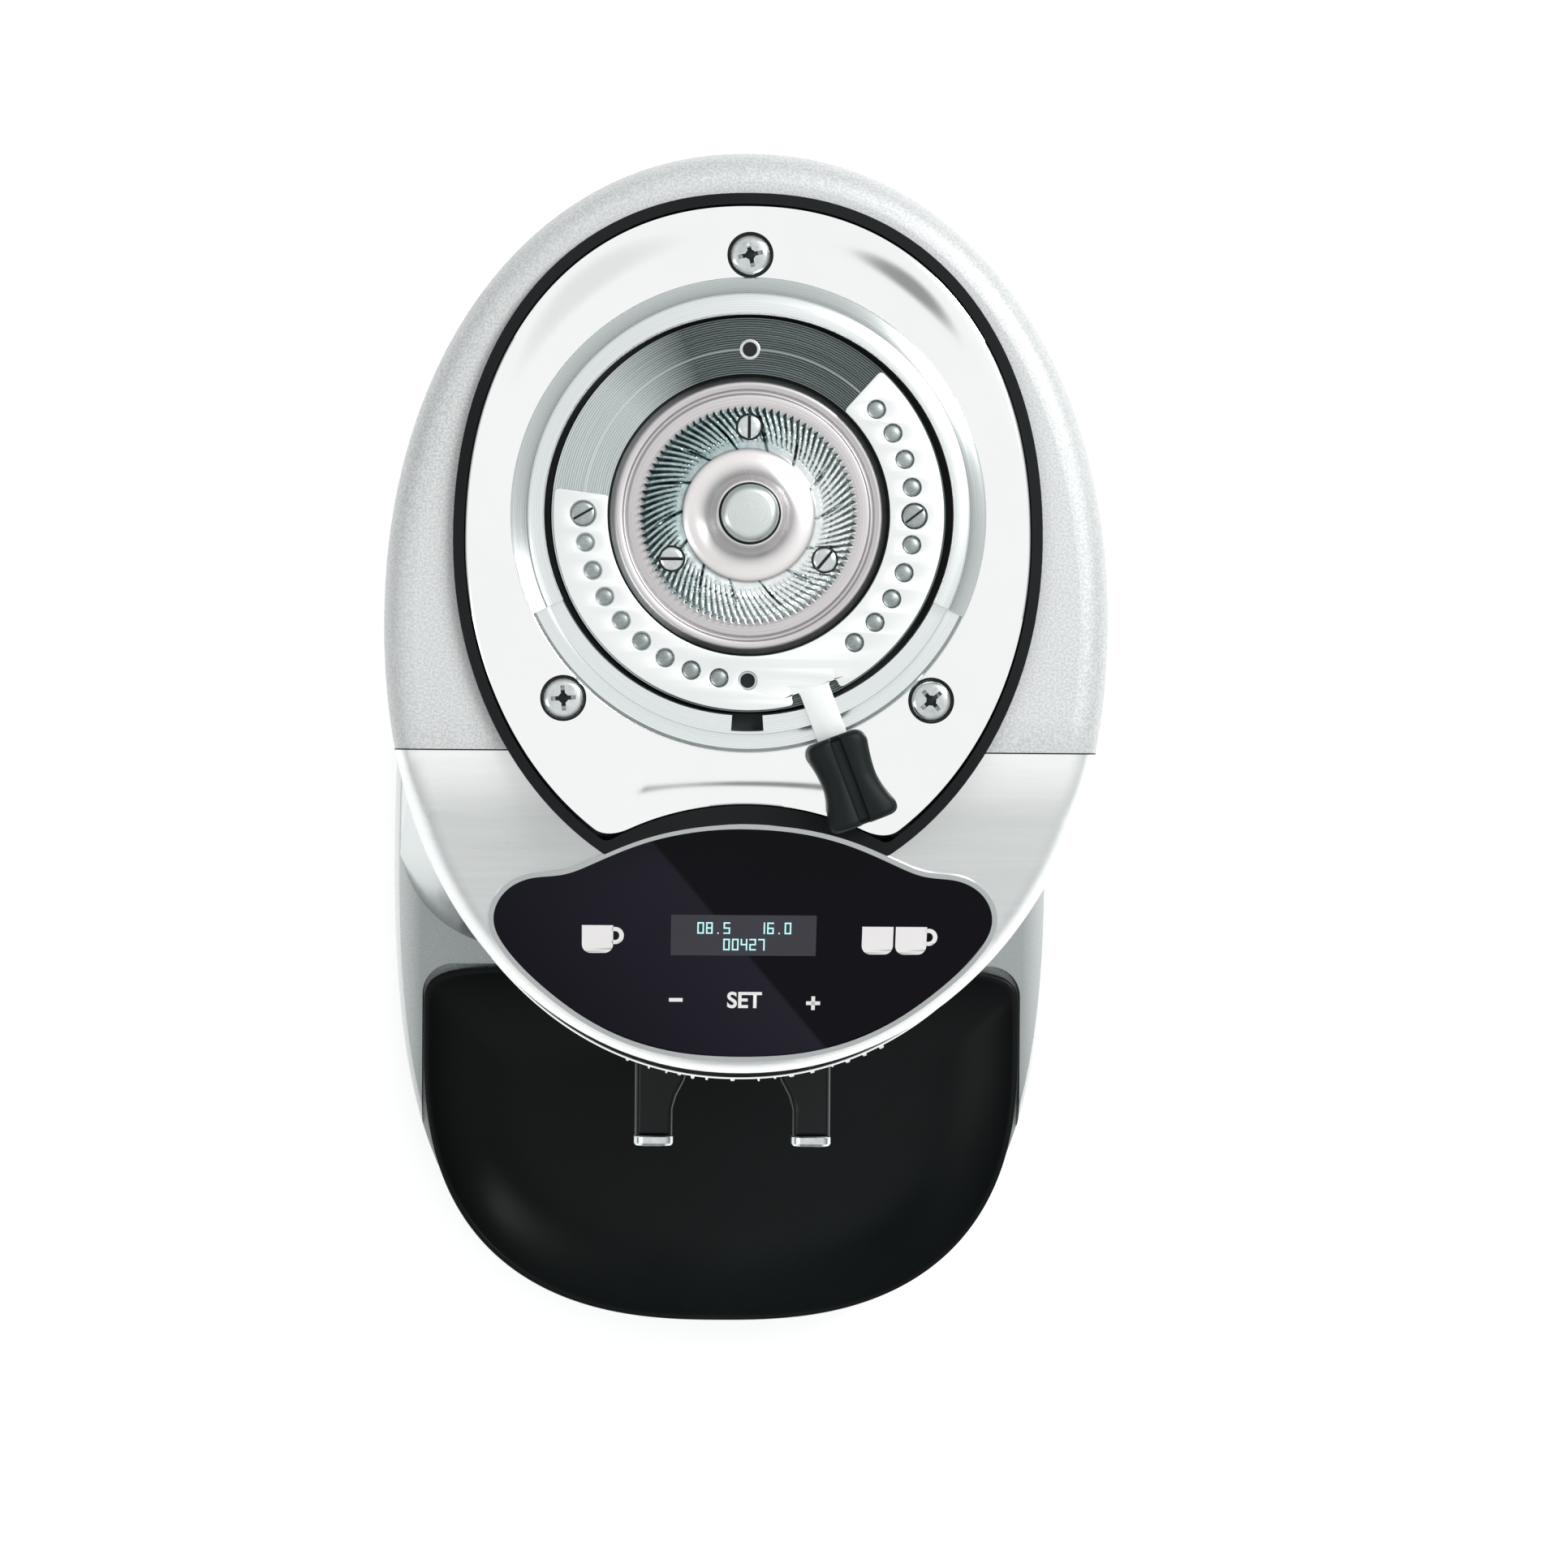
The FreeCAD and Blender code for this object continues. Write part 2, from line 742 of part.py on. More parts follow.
def stator():
    ring = tube(can_radius - can_wall, stator_bore, stator_bottom, stator_top)
    slots = [at(box(stator_bore - 1, stator_bore + 10, -1.6, 1.6, stator_bottom, stator_top),
                0, 0, angle) for angle in range(0, 360, 30)]
    return without(ring, slots)


def windings():
    ends = [tube(56, stator_bore + 3, stator_bottom - 12, stator_bottom),
            tube(56, stator_bore + 3, stator_top, stator_top + 12)]
    return Part.makeCompound(ends)


def motor_shaft():
    shaft = cylinder(shaft_radius, shaft_bottom, shaft_top)
    return shaft.cut(cylinder(bolt_radius, shaft_top - 14, far))


def rotor_core():
    return tube(stator_bore - air_gap, shaft_radius, stator_bottom + 2, stator_top - 2)


def cooling_fan():
    low = can_bottom + end_bell + 2
    hub = tube(14, shaft_radius, low, low + fan_height)
    blade = box(12, fan_radius, -0.9, 0.9, low, low + fan_height)
    blades = [spun(blade, angle) for angle in range(0, 360, 36)]
    return joined([hub] + blades)


def capacitor():
    """The motor's run capacitor, upright in the front left corner of the column."""
    return cylinder(17, 96, 168, -56, -76)


def power_board():
    """A board on two posts, with a choke and a relay on it."""
    top = board_height + board_thickness
    board = box(-40, 40, 30, 92, board_height, top)
    choke = box(-30, -8, 44, 70, top, top + 16)
    relay = box(6, 24, 50, 80, top, top + 12)
    posts = [cylinder(3, base_top, board_height, x, 86) for x in (-32, 32)]
    return joined([board, choke, relay] + posts)


# ---- rotor head

def burr_carrier():
    """A turned disc that holds the lower burr, with sweepers near the chamber floor."""
    disc = revolved([(shaft_radius, carrier_bottom - 10), (carrier_boss, carrier_bottom - 10),
                     (carrier_boss, carrier_bottom), (carrier_radius, carrier_bottom),
                     (carrier_radius, carrier_top), (burr_radius + 0.2, carrier_top),
                     (burr_radius + 0.2, burr_bottom), (shaft_radius, burr_bottom)])
    groove = tube(36.5, 36.0, carrier_top - 0.5, carrier_top + 1)
    fingers = [spun(box(carrier_radius - 4, carrier_radius + sweeper_reach, -4, 4,
                        carrier_bottom, carrier_bottom + 4), angle) for angle in (0, 120, 240)]
    disc = joined([disc.cut(groove)] + fingers)
    return without(disc, burr_screw_holes())


def burr_screw_holes():
    return [at(cylinder(burr_screw_shank, burr_bottom - 8, far), burr_screw_circle, angle)
            for angle in (90, 210, 330)]


def lower_burr():
    """A steel ring with slanting teeth, coarse within and fine towards the rim."""
    ring = revolved([(burr_bore, burr_bottom), (burr_radius, burr_bottom), (burr_radius, burr_top),
                     (burr_radius - 9, burr_top), (burr_bore + 2, burr_top - 3.5),
                     (burr_bore, burr_top - 3.5)])
    seats = [at(cylinder(burr_screw_head + 0.4, burr_top - 2.2, far), burr_screw_circle, angle)
             for angle in (90, 210, 330)]
    teeth = []
    for index in range(36):
        cut = box(burr_radius - 8.5, burr_radius + 1, -0.5, 0.5, burr_top - 0.7, burr_top + 1)
        cut.rotate(Vector(burr_radius - 8.5, 0, 0), Vector(0, 0, 1), 38)
        teeth.append(spun(cut, index * 10))
    return without(ring, seats + burr_screw_holes()).cut(Part.makeCompound(teeth))


def burr_screws():
    screws = []
    for angle, turn in ((90, 90), (210, 0), (330, 45)):
        head = cylinder(burr_screw_head, burr_top - 2.2, burr_top + 0.2)
        slot = box(-4, 4, -0.5, 0.5, burr_top - 0.8, burr_top + 1)
        slot.rotate(Vector(0, 0, 0), Vector(0, 0, 1), turn)
        body = head.fuse(cylinder(burr_screw_shank, burr_bottom - 8, burr_top - 2.2)).cut(slot)
        screws.append(at(body, burr_screw_circle, angle))
    return Part.makeCompound(screws)


def hub_cone():
    """A flared cap that presses the burr down and throws the beans outwards."""
    low = burr_top - 3.5
    profile = [(bolt_radius, burr_bottom), (burr_bore, burr_bottom), (burr_bore, low),
               (cone_radius - 3, low), (cone_radius - 3, burr_top), (cone_radius, burr_top),
               (cone_radius, burr_top + 1.5), (cone_radius - 3.4, burr_top + 3.2),
               (cone_neck + 3.2, burr_top + 6.2), (cone_neck + 0.9, cone_top - 3),
               (cone_neck, cone_top), (bolt_radius, cone_top)]
    return revolved(profile)


def hub_bolt():
    head = cylinder(button_radius, cone_top, cone_top + button_height)
    rim = [edge for edge in head.Edges if edge.BoundBox.ZMin > cone_top + button_height - 0.1]
    return head.makeFillet(2.0, rim).fuse(cylinder(bolt_radius, shaft_top - 14, cone_top))


# ---- grind adjuster

def ring_threads():
    return [at(cylinder(ring_thread, ring_top - 12, far), index_circle, angle)
            for angle in (0, 90, 180, 270)]


def adjusting_ring():
    return without(tube(ring_outer, ring_bore, ring_bottom, ring_top), ring_threads())


def index_hole_angles():
    steps = [index_step * count for count in range(4, -18, -1)]
    return [angle for angle in steps if angle != 0 and not -90 < angle < -50]


def index_plate():
    """A flat bow with a row of holes, and the arm that carries the knob."""
    top = ring_top + index_thickness
    bow = tube(index_outer, ring_bore, ring_top, top)
    bow = bow.common(sector(index_outer + 5, index_from, index_to, ring_top, top))
    ends = [edge for edge in bow.Edges
            if edge.BoundBox.ZLength > index_thickness - 0.1 and edge.BoundBox.XLength < 0.1]
    bow = bow.makeFillet(2.5, ends)
    arm = box(index_circle, arm_end, -arm_width / 2, arm_width / 2, ring_top, top)
    bow = joined([bow, spun(arm, arm_angle)])
    holes = [at(cylinder(index_hole, ring_top, far), index_circle, angle)
             for angle in index_hole_angles()]
    seats = [at(cylinder(index_screw_head + 0.5, top - 0.8, far), index_circle, angle)
             for angle in (0, 180)]
    slits = [spun(box(index_outer - 3.5, index_outer + 1, side * 6.2 - 0.9, side * 6.2 + 0.9,
                      ring_top, top), arm_angle) for side in (-1, 1)]
    threads = [at(cylinder(ring_thread, ring_top, far), index_circle, angle) for angle in (0, 180)]
    return without(bow, holes + seats + slits + threads)


def index_screws():
    top = ring_top + index_thickness
    screws = []
    for angle in (0, 180):
        head = cylinder(index_screw_head, top - 0.8, top + 0.6)
        slot = box(-4, 4, -0.45, 0.45, top, top + 2)
        slot.rotate(Vector(0, 0, 0), Vector(0, 0, 1), 30)
        body = head.fuse(cylinder(ring_thread, ring_top - 12, top - 0.8)).cut(slot)
        screws.append(at(body, index_circle, angle))
    return Part.makeCompound(screws)


def adjust_knob():
    """A waisted grip on the arm, with a groove along it that shows the setting."""
    half = knob_length / 2
    sides = [(knob_centre - half, knob_inner / 2), (knob_centre, knob_waist / 2),
             (knob_centre + half, knob_outer / 2)]
    upper = [Vector(x, y, 0) for x, y in sides]
    lower = [Vector(x, -y, 0) for x, y in sides]
    edges = [Part.Arc(*upper).toShape(), Part.makeLine(upper[2], lower[2]),
             Part.Arc(lower[2], lower[1], lower[0]).toShape(), Part.makeLine(lower[0], upper[0])]
    block = prism(Part.Wire(edges), knob_bottom, knob_bottom + knob_height)
    corners = [edge for edge in block.Edges if edge.BoundBox.ZLength > knob_height - 0.1]
    block = block.makeFillet(3.0, corners)
    arm = box(0, arm_end, -arm_width / 2, arm_width / 2, ring_top, ring_top + index_thickness)
    groove = box(0, far, -knob_groove / 2, knob_groove / 2,
                 knob_bottom + knob_height - 4.5, far)
    return spun(without(block, [arm, groove]), arm_angle)


# ---- fork and dose button

def pad_face():
    return column_front + pad_depth


def guide_face():
    return pad_face() - guide_thickness


def slider_back():
    return guide_face() - slider_gap


def slider_front():
    return slider_back() - slider_thickness


def button_passage(gap):
    return rod_y(button_stem + gap, column_front - 30, column_front + 14, 0, button_z)


def guide_plate():
    """The steel face on the column that the fork's slider runs on."""
    plate = box(-guide_half_width, guide_half_width, guide_face(), pad_face(),
                guide_bottom, guide_top)
    holes = [rod_y(clamp_shank, guide_face() - 1, pad_face() + 1, x, slot_centre)
             for x in (-slot_offset, slot_offset)]
    return without(plate, holes + [button_passage(stem_gap)])


def slider_slot(x):
    width = clamp_shank + slider_gap
    reach = fork_travel + slider_gap
    slot = box(x - width, x + width, -far, far, slot_centre - reach, slot_centre + reach)
    ends = [rod_y(width, -far, far, x, slot_centre + side * reach) for side in (-1, 1)]
    return joined([slot] + ends)


def fork_slider():
    plate = box(-slider_half_width, slider_half_width, slider_front(), slider_back(),
                slider_bottom, slider_top)
    tall = [edge for edge in plate.Edges if edge.BoundBox.YLength > slider_thickness - 0.1]
    plate = plate.makeFillet(5, tall)
    return without(plate, [slider_slot(-slot_offset), slider_slot(slot_offset)])


def clamp_screws():
    screws = []
    for x in (-slot_offset, slot_offset):
        shank = rod_y(clamp_shank, slider_front() - slider_gap, pad_face() + 8, x, slot_centre)
        head = rod_y(clamp_head, slider_front() - slider_gap - 3.5, slider_front() - slider_gap,
                     x, slot_centre)
        hexagon = rod_y(2.4, slider_front() - slider_gap - 4, slider_front() - slider_gap - 1.4,
                        x, slot_centre)
        screws.append(head.fuse(shank).cut(hexagon))
    return Part.makeCompound(screws)


def fork_body():
    """Two rods with flared roots that carry the filter holder."""
    top = fork_bottom + fork_thickness
    block = box(-fork_half_width, fork_half_width, -fork_reach, slider_front(), fork_bottom, top)
    long_edges = [edge for edge in block.Edges if edge.BoundBox.YLength > 10]
    block = block.makeFillet(4.5, long_edges)
    tip, root = fork_tip_inner, fork_root_inner
    flare = -fork_reach + 9
    half = [(tip, -fork_reach - 5), (tip, flare), (tip - 1.2, flare + 4), (root + 1.2, flare + 9),
            (root, flare + 14), (root, slider_front() - 26)]
    left = [Vector(-x, y, 0) for x, y in half]
    right = [Vector(x, y, 0) for x, y in reversed(half)]
    edges = [Part.makeLine(a, b) for a, b in zip(left, left[1:])]
    edges += [Part.Arc(left[-1], Vector(0, slider_front() - 26 + root, 0), right[0]).toShape()]
    edges += [Part.makeLine(a, b) for a, b in zip(right, right[1:])]
    edges += [Part.makeLine(right[-1], left[0])]
    return block.cut(prism(Part.Wire(edges), 0, far))


def fork_caps():
    caps = []
    for side in (-1, 1):
        inner, outer = side * fork_tip_inner, side * fork_half_width
        cap = box(min(inner, outer), max(inner, outer), -fork_reach - fork_cap, -fork_reach,
                  fork_bottom, fork_bottom + fork_thickness)
        long_edges = [edge for edge in cap.Edges if edge.BoundBox.YLength > fork_cap - 0.1]
        caps.append(cap.makeFillet(2.6, long_edges))
    return Part.makeCompound(caps)


def dose_button():
    back = guide_face() - button_travel - 0.3
    pad = box(-button_half_width, button_half_width, back - button_pad, back,
              button_z - button_half_height, button_z + button_half_height)
    corners = [edge for edge in pad.Edges if edge.BoundBox.YLength > button_pad - 0.1]
    pad = pad.makeFillet(3.5, corners)
    return pad.fuse(rod_y(button_stem, back, pad_face() + 8, 0, button_z))


def dose_switch():
    front = pad_face() + 8 + button_travel + 0.4
    return box(-10, 10, front, front + 12, button_z - 7, button_z + 7)


# ---- mains inlet and power switch

def bezel_body_half_width():
    return rocker_half_width + rocker_gap + 1.6


def bezel_body_half_height():
    return rocker_half_height + rocker_gap + 1.6


def switch_hole(half_width, half_height):
    return box(switch_x - half_width, switch_x + half_width, recess_wall - 20, recess_wall + 1,
               inlet_z - half_height, inlet_z + half_height)


def switch_bezel():
    half_width, half_height = bezel_body_half_width(), bezel_body_half_height()
    body = box(switch_x - half_width, switch_x + half_width, recess_wall - 14, recess_wall,
               inlet_z - half_height, inlet_z + half_height)
    rim = box(switch_x - half_width - bezel_rim + 1.6, switch_x + half_width + bezel_rim - 1.6,
              recess_wall, recess_wall + 2.4,
              inlet_z - half_height - bezel_rim + 1.6, inlet_z + half_height + bezel_rim - 1.6)
    room = box(switch_x - rocker_half_width - rocker_gap, switch_x + rocker_half_width + rocker_gap,
               recess_wall - 11, recess_wall + 10,
               inlet_z - rocker_half_height - rocker_gap, inlet_z + rocker_half_height + rocker_gap)
    return body.fuse(rim).removeSplitter().cut(room)


def power_rocker():
    """Rocks about an upright line through its middle; drawn in its off position."""
    x0, x1 = switch_x - rocker_half_width, switch_x + rocker_half_width
    y_front, y_back = recess_wall + 3.6, recess_wall - 5.0
    low, high = inlet_z - rocker_half_height, inlet_z + rocker_half_height
    middle = Vector(switch_x, y_front - 1.6, low)
    edges = [Part.makeLine(Vector(x0 + 0.8, y_back, low), Vector(x0 + 0.5, y_front, low)),
             Part.Arc(Vector(x0 + 0.5, y_front, low), middle, Vector(x1 - 0.5, y_front, low)).toShape(),
             Part.makeLine(Vector(x1 - 0.5, y_front, low), Vector(x1 - 0.8, y_back, low)),
             Part.makeLine(Vector(x1 - 0.8, y_back, low), Vector(x0 + 0.8, y_back, low))]
    cap = Part.Face(Part.Wire(edges)).extrude(Vector(0, 0, high - low))
    cap.rotate(Vector(switch_x, recess_wall - 2, 0), Vector(0, 0, 1), rocker_tilt)
    return cap


def cable_gland():
    flange = rod_y(gland_flange, recess_wall, recess_wall + gland_flange_thickness, gland_x, inlet_z)
    body = rod_y(gland_body, recess_wall - 6, recess_wall, gland_x, inlet_z)
    nose = Part.makeCone(gland_body + 0.8, gland_body - 0.6, 6,
                         Vector(gland_x, recess_wall + gland_flange_thickness, inlet_z), Vector(0, 1, 0))
    bore = rod_y(gland_bore, recess_wall - 8, recess_wall + 12, gland_x, inlet_z)
    return joined([flange, body, nose]).cut(bore)


def gland_nut():
    nut = rod_y(gland_body + 3, recess_wall - 12, recess_wall - 6, gland_x, inlet_z)
    return nut.cut(rod_y(gland_bore, recess_wall - 20, recess_wall, gland_x, inlet_z))


# ---- writing the pieces

def save(name, shape):
    middle = (base_rear - base_front - tray_overlap) / 2
    placed = shape.copy()
    placed.translate(Vector(0, -middle, 0))
    placed.exportStep("parts/" + name + ".step")


def main():
    os.makedirs("parts", exist_ok=True)
    rear, front, column = shells()
    pieces = {
        "base_casting": base_casting(), "bottom_cover": bottom_cover(), "feet": feet(),
        "base_screws": base_screws(), "tray": tray(), "rear_shell": rear,
        "front_cover": front, "column_cover": column, "lip_trim": lip_trim(),
        "head_underplate": head_underplate(), "plate_gasket": plate_gasket(),
        "glass_panel": glass_panel(), "glass_bezel": glass_bezel(),
        "display_module": display_module(), "control_board": control_board(),
        "top_plate": top_plate(), "hopper_collar": hopper_collar(),
        "plate_screws": plate_screws(), "grinding_chamber": grinding_chamber(),
        "chute": chute(), "shaft_seal": shaft_seal(), "motor_housing": motor_housing(),
        "motor_screws": motor_screws(), "upper_bearing": bearing(chamber_bottom + 2),
        "lower_bearing": bearing(can_bottom + 3), "stator": stator(), "windings": windings(),
        "motor_shaft": motor_shaft(), "rotor_core": rotor_core(), "cooling_fan": cooling_fan(),
        "capacitor": capacitor(), "power_board": power_board(), "burr_carrier": burr_carrier(),
        "lower_burr": lower_burr(), "burr_screws": burr_screws(), "hub_cone": hub_cone(),
        "hub_bolt": hub_bolt(), "adjusting_ring": adjusting_ring(),
        "index_plate": index_plate(), "index_screws": index_screws(),
        "adjust_knob": adjust_knob(), "guide_plate": guide_plate(),
        "fork_slider": fork_slider(), "clamp_screws": clamp_screws(), "fork": fork_body(),
        "fork_caps": fork_caps(), "dose_button": dose_button(), "dose_switch": dose_switch(),
        "switch_bezel": switch_bezel(), "power_rocker": power_rocker(),
        "cable_gland": cable_gland(), "gland_nut": gland_nut()}
    for name, shape in pieces.items():
        save(name, shape)
        box_of = shape.BoundBox
        print(f"{name:18s} solids {len(shape.Solids)} valid {shape.isValid()} "
              f"volume {shape.Volume / 1000:9.2f} cm3  x {box_of.XMin:.1f} {box_of.XMax:.1f}  "
              f"y {box_of.YMin:.1f} {box_of.YMax:.1f}  z {box_of.ZMin:.1f} {box_of.ZMax:.1f}")


main()
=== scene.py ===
import bpy
import bmesh
import json
import math
import random
from mathutils import Matrix, Vector
from mathutils.bvhtree import BVHTree


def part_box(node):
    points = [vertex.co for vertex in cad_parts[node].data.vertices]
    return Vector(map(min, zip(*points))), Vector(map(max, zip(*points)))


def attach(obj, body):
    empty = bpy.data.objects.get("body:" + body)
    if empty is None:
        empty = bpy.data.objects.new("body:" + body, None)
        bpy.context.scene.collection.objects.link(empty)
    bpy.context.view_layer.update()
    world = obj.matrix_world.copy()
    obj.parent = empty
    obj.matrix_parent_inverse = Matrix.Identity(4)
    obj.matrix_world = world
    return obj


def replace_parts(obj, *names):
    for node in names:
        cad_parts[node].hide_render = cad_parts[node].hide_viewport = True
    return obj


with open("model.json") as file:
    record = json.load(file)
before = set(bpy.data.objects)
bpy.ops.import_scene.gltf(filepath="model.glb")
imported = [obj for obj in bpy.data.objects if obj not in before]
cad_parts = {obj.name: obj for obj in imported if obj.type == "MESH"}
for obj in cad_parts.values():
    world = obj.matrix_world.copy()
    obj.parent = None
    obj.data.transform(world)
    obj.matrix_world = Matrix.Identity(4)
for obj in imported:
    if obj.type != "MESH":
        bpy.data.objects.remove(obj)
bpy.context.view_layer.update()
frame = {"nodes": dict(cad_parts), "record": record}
print("frame loaded:", len(frame["nodes"]), "nodes")

mm = 0.001
nodeObject = frame["nodes"]

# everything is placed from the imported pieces: the burr axis and a few heights
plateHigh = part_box("top_plate")[1]
ringLow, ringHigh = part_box("adjusting_ring")
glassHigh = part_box("glass_panel")[1]
axisX = (ringLow.x + ringHigh.x) / 2
axisY = (ringLow.y + ringHigh.y) / 2
plateTop = plateHigh.z


# mesh helpers

def newPiece(name, verts, faces, body, material, smooth=True, angle=35):
    mesh = bpy.data.meshes.new(name)
    mesh.from_pydata([tuple(v) for v in verts], [], faces)
    mesh.update()
    tidy = bmesh.new()
    tidy.from_mesh(mesh)
    bmesh.ops.remove_doubles(tidy, verts=tidy.verts, dist=1e-6)
    bmesh.ops.recalc_face_normals(tidy, faces=tidy.faces)
    tidy.to_mesh(mesh)
    tidy.free()
    piece = bpy.data.objects.new(name, mesh)
    bpy.context.scene.collection.objects.link(piece)
    finishPiece(piece, body, material, smooth, angle)
    return piece


def finishPiece(piece, body, material, smooth=True, angle=35):
    piece.data.materials.clear()
    piece.data.materials.append(material)
    if smooth:
        piece.data.shade_smooth()
        piece.data.set_sharp_from_angle(angle=math.radians(angle))
    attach(piece, body)


# bakes the modifier stack into the mesh
def applyModifiers(piece):
    bpy.context.view_layer.update()
    graph = bpy.context.evaluated_depsgraph_get()
    mesh = bpy.data.meshes.new_from_object(piece.evaluated_get(graph))
    piece.modifiers.clear()
    piece.data = mesh


def addBevel(piece, width, segments=3, angle=40):
    bevel = piece.modifiers.new("edges", "BEVEL")
    bevel.width = width
    bevel.segments = segments
    bevel.limit_method = "ANGLE"
    bevel.angle_limit = math.radians(angle)
    bevel.harden_normals = False


# quads between rings of equal count, each ring a closed loop
def ringFaces(rings, count, closedLoop=True):
    faces = []
    for row in range(rings - 1):
        for col in range(count if closedLoop else count - 1):
            nextCol = (col + 1) % count
            faces.append((row * count + col, row * count + nextCol,
                          (row + 1) * count + nextCol, (row + 1) * count + col))
    return faces


# a polyline with its inner corners replaced by small arcs
def rounded(profile, radius, steps=4):
    out = [profile[0]]
    for before, here, after in zip(profile, profile[1:], profile[2:]):
        a, b, c = Vector(before), Vector(here), Vector(after)
        cut = min(radius, (a - b).length * 0.45, (c - b).length * 0.45)
        start = b + (a - b).normalized() * cut
        end = b + (c - b).normalized() * cut
        for step in range(steps + 1):
            t = step / steps
            out.append(tuple(start * (1 - t) ** 2 + b * 2 * t * (1 - t) + end * t ** 2))
    out.append(profile[-1])
    return out


# turns a (radius, height) profile about the burr axis or another upright line
def lathe(name, profile, body, material, steps=160, closed=True, centre=None, angle=35):
    cx, cy = centre or (axisX, axisY)
    verts = []
    for radius, height in profile:
        for step in range(steps):
            turn = 2 * math.pi * step / steps
            verts.append((cx + radius * math.cos(turn), cy + radius * math.sin(turn), height))
    faces = ringFaces(len(profile), steps)
    if closed:
        last = (len(profile) - 1) * steps
        faces += [(col, last + col, last + (col + 1) % steps, (col + 1) % steps) for col in range(steps)]
    return newPiece(name, verts, faces, body, material, angle=angle)


# a plate from closed outlines; inner loops become holes
def flatOutline(name, loops, low, high, bevel, body, material, resolution=3):
    curve = bpy.data.curves.new(name, "CURVE")
    curve.dimensions = "2D"
    curve.fill_mode = "BOTH"
    for loop in loops:
        spline = curve.splines.new("POLY")
        spline.points.add(len(loop) - 1)
        for point, (x, y) in zip(spline.points, loop):
            point.co = (x, y, 0, 1)
        spline.use_cyclic_u = True
    curve.extrude = (high - low) / 2 - bevel
    curve.bevel_depth = bevel
    curve.bevel_resolution = resolution
    curve.offset = -bevel
    holder = bpy.data.objects.new(name + "_outline", curve)
    bpy.context.scene.collection.objects.link(holder)
    bpy.context.view_layer.update()
    graph = bpy.context.evaluated_depsgraph_get()
    mesh = bpy.data.meshes.new_from_object(holder.evaluated_get(graph))
    bpy.data.objects.remove(holder)
    mesh.transform(Matrix.Translation((0, 0, (low + high) / 2)))
    mesh.name = name
    piece = bpy.data.objects.new(name, mesh)
    bpy.context.scene.collection.objects.link(piece)
    tidy = bmesh.new()
    tidy.from_mesh(mesh)
    bmesh.ops.remove_doubles(tidy, verts=tidy.verts, dist=1e-6)
    bmesh.ops.recalc_face_normals(tidy, faces=tidy.faces)
    tidy.to_mesh(mesh)
    tidy.free()
    finishPiece(piece, body, material, angle=30)
    return piece


def circle(x, y, radius, steps=32):
    return [(x + radius * math.cos(2 * math.pi * i / steps),
             y + radius * math.sin(2 * math.pi * i / steps)) for i in range(steps)]


def polar(radius, degrees):
    turn = math.radians(degrees)
    return axisX + radius * math.cos(turn), axisY + radius * math.sin(turn)


# takes one closed mesh out of another and throws the cutter away
def cutWith(piece, cutter):
    boolean = piece.modifiers.new("cut", "BOOLEAN")
    boolean.operation = "DIFFERENCE"
    boolean.solver = "EXACT"
    boolean.object = cutter
    applyModifiers(piece)
    bpy.data.objects.remove(cutter)


def cutterFrom(verts, faces):
    mesh = bpy.data.meshes.new("cutter")
    mesh.from_pydata(verts, [], faces)
    tidy = bmesh.new()
    tidy.from_mesh(mesh)
    bmesh.ops.recalc_face_normals(tidy, faces=tidy.faces)
    tidy.to_mesh(mesh)
    tidy.free()
    cutter = bpy.data.objects.new("cutter", mesh)
    bpy.context.scene.collection.objects.link(cutter)
    return cutter


def prismData(loop, low, high):
    count = len(loop)
    verts = [(x, y, low) for x, y in loop] + [(x, y, high) for x, y in loop]
    faces = [tuple(range(count)), tuple(range(count, 2 * count))]
    faces += [(i, (i + 1) % count, count + (i + 1) % count, count + i) for i in range(count)]
    return verts, faces


# shader groups, shared by several materials

def newGroup(name, inputs, outputs):
    group = bpy.data.node_groups.new(name, "ShaderNodeTree")
    for label, kind, value in inputs:
        socket = group.interface.new_socket(name=label, in_out="INPUT", socket_type=kind)
        if value is not None:
            socket.default_value = value
    for label, kind in outputs:
        group.interface.new_socket(name=label, in_out="OUTPUT", socket_type=kind)
    return group, group.nodes.new("NodeGroupInput"), group.nodes.new("NodeGroupOutput")


def mathNode(tree, operation, first, second=None):
    node = tree.nodes.new("ShaderNodeMath")
    node.operation = operation
    for index, value in enumerate((first, second)):
        if value is None:
            continue
        if isinstance(value, (int, float)):
            node.inputs[index].default_value = value
        else:
            tree.links.new(value, node.inputs[index])
    return node.outputs[0]


def mapRange(tree, value, low, high, toLow=0.0, toHigh=1.0):
    node = tree.nodes.new("ShaderNodeMapRange")
    node.inputs["From Min"].default_value = low
    node.inputs["From Max"].default_value = high
    node.inputs["To Min"].default_value = toLow
    node.inputs["To Max"].default_value = toHigh
    tree.links.new(value, node.inputs["Value"])
    return node.outputs[0]


def noise(tree, scale, detail=3.0, coords=None, roughness=0.55):
    node = tree.nodes.new("ShaderNodeTexNoise")
    node.inputs["Scale"].default_value = scale
    node.inputs["Detail"].default_value = detail
    node.inputs["Roughness"].default_value = roughness
    if coords is not None:
        tree.links.new(coords, node.inputs["Vector"])
    return node.outputs[0]


def objectCoords(tree):
    return tree.nodes.new("ShaderNodeTexCoord").outputs["Object"]


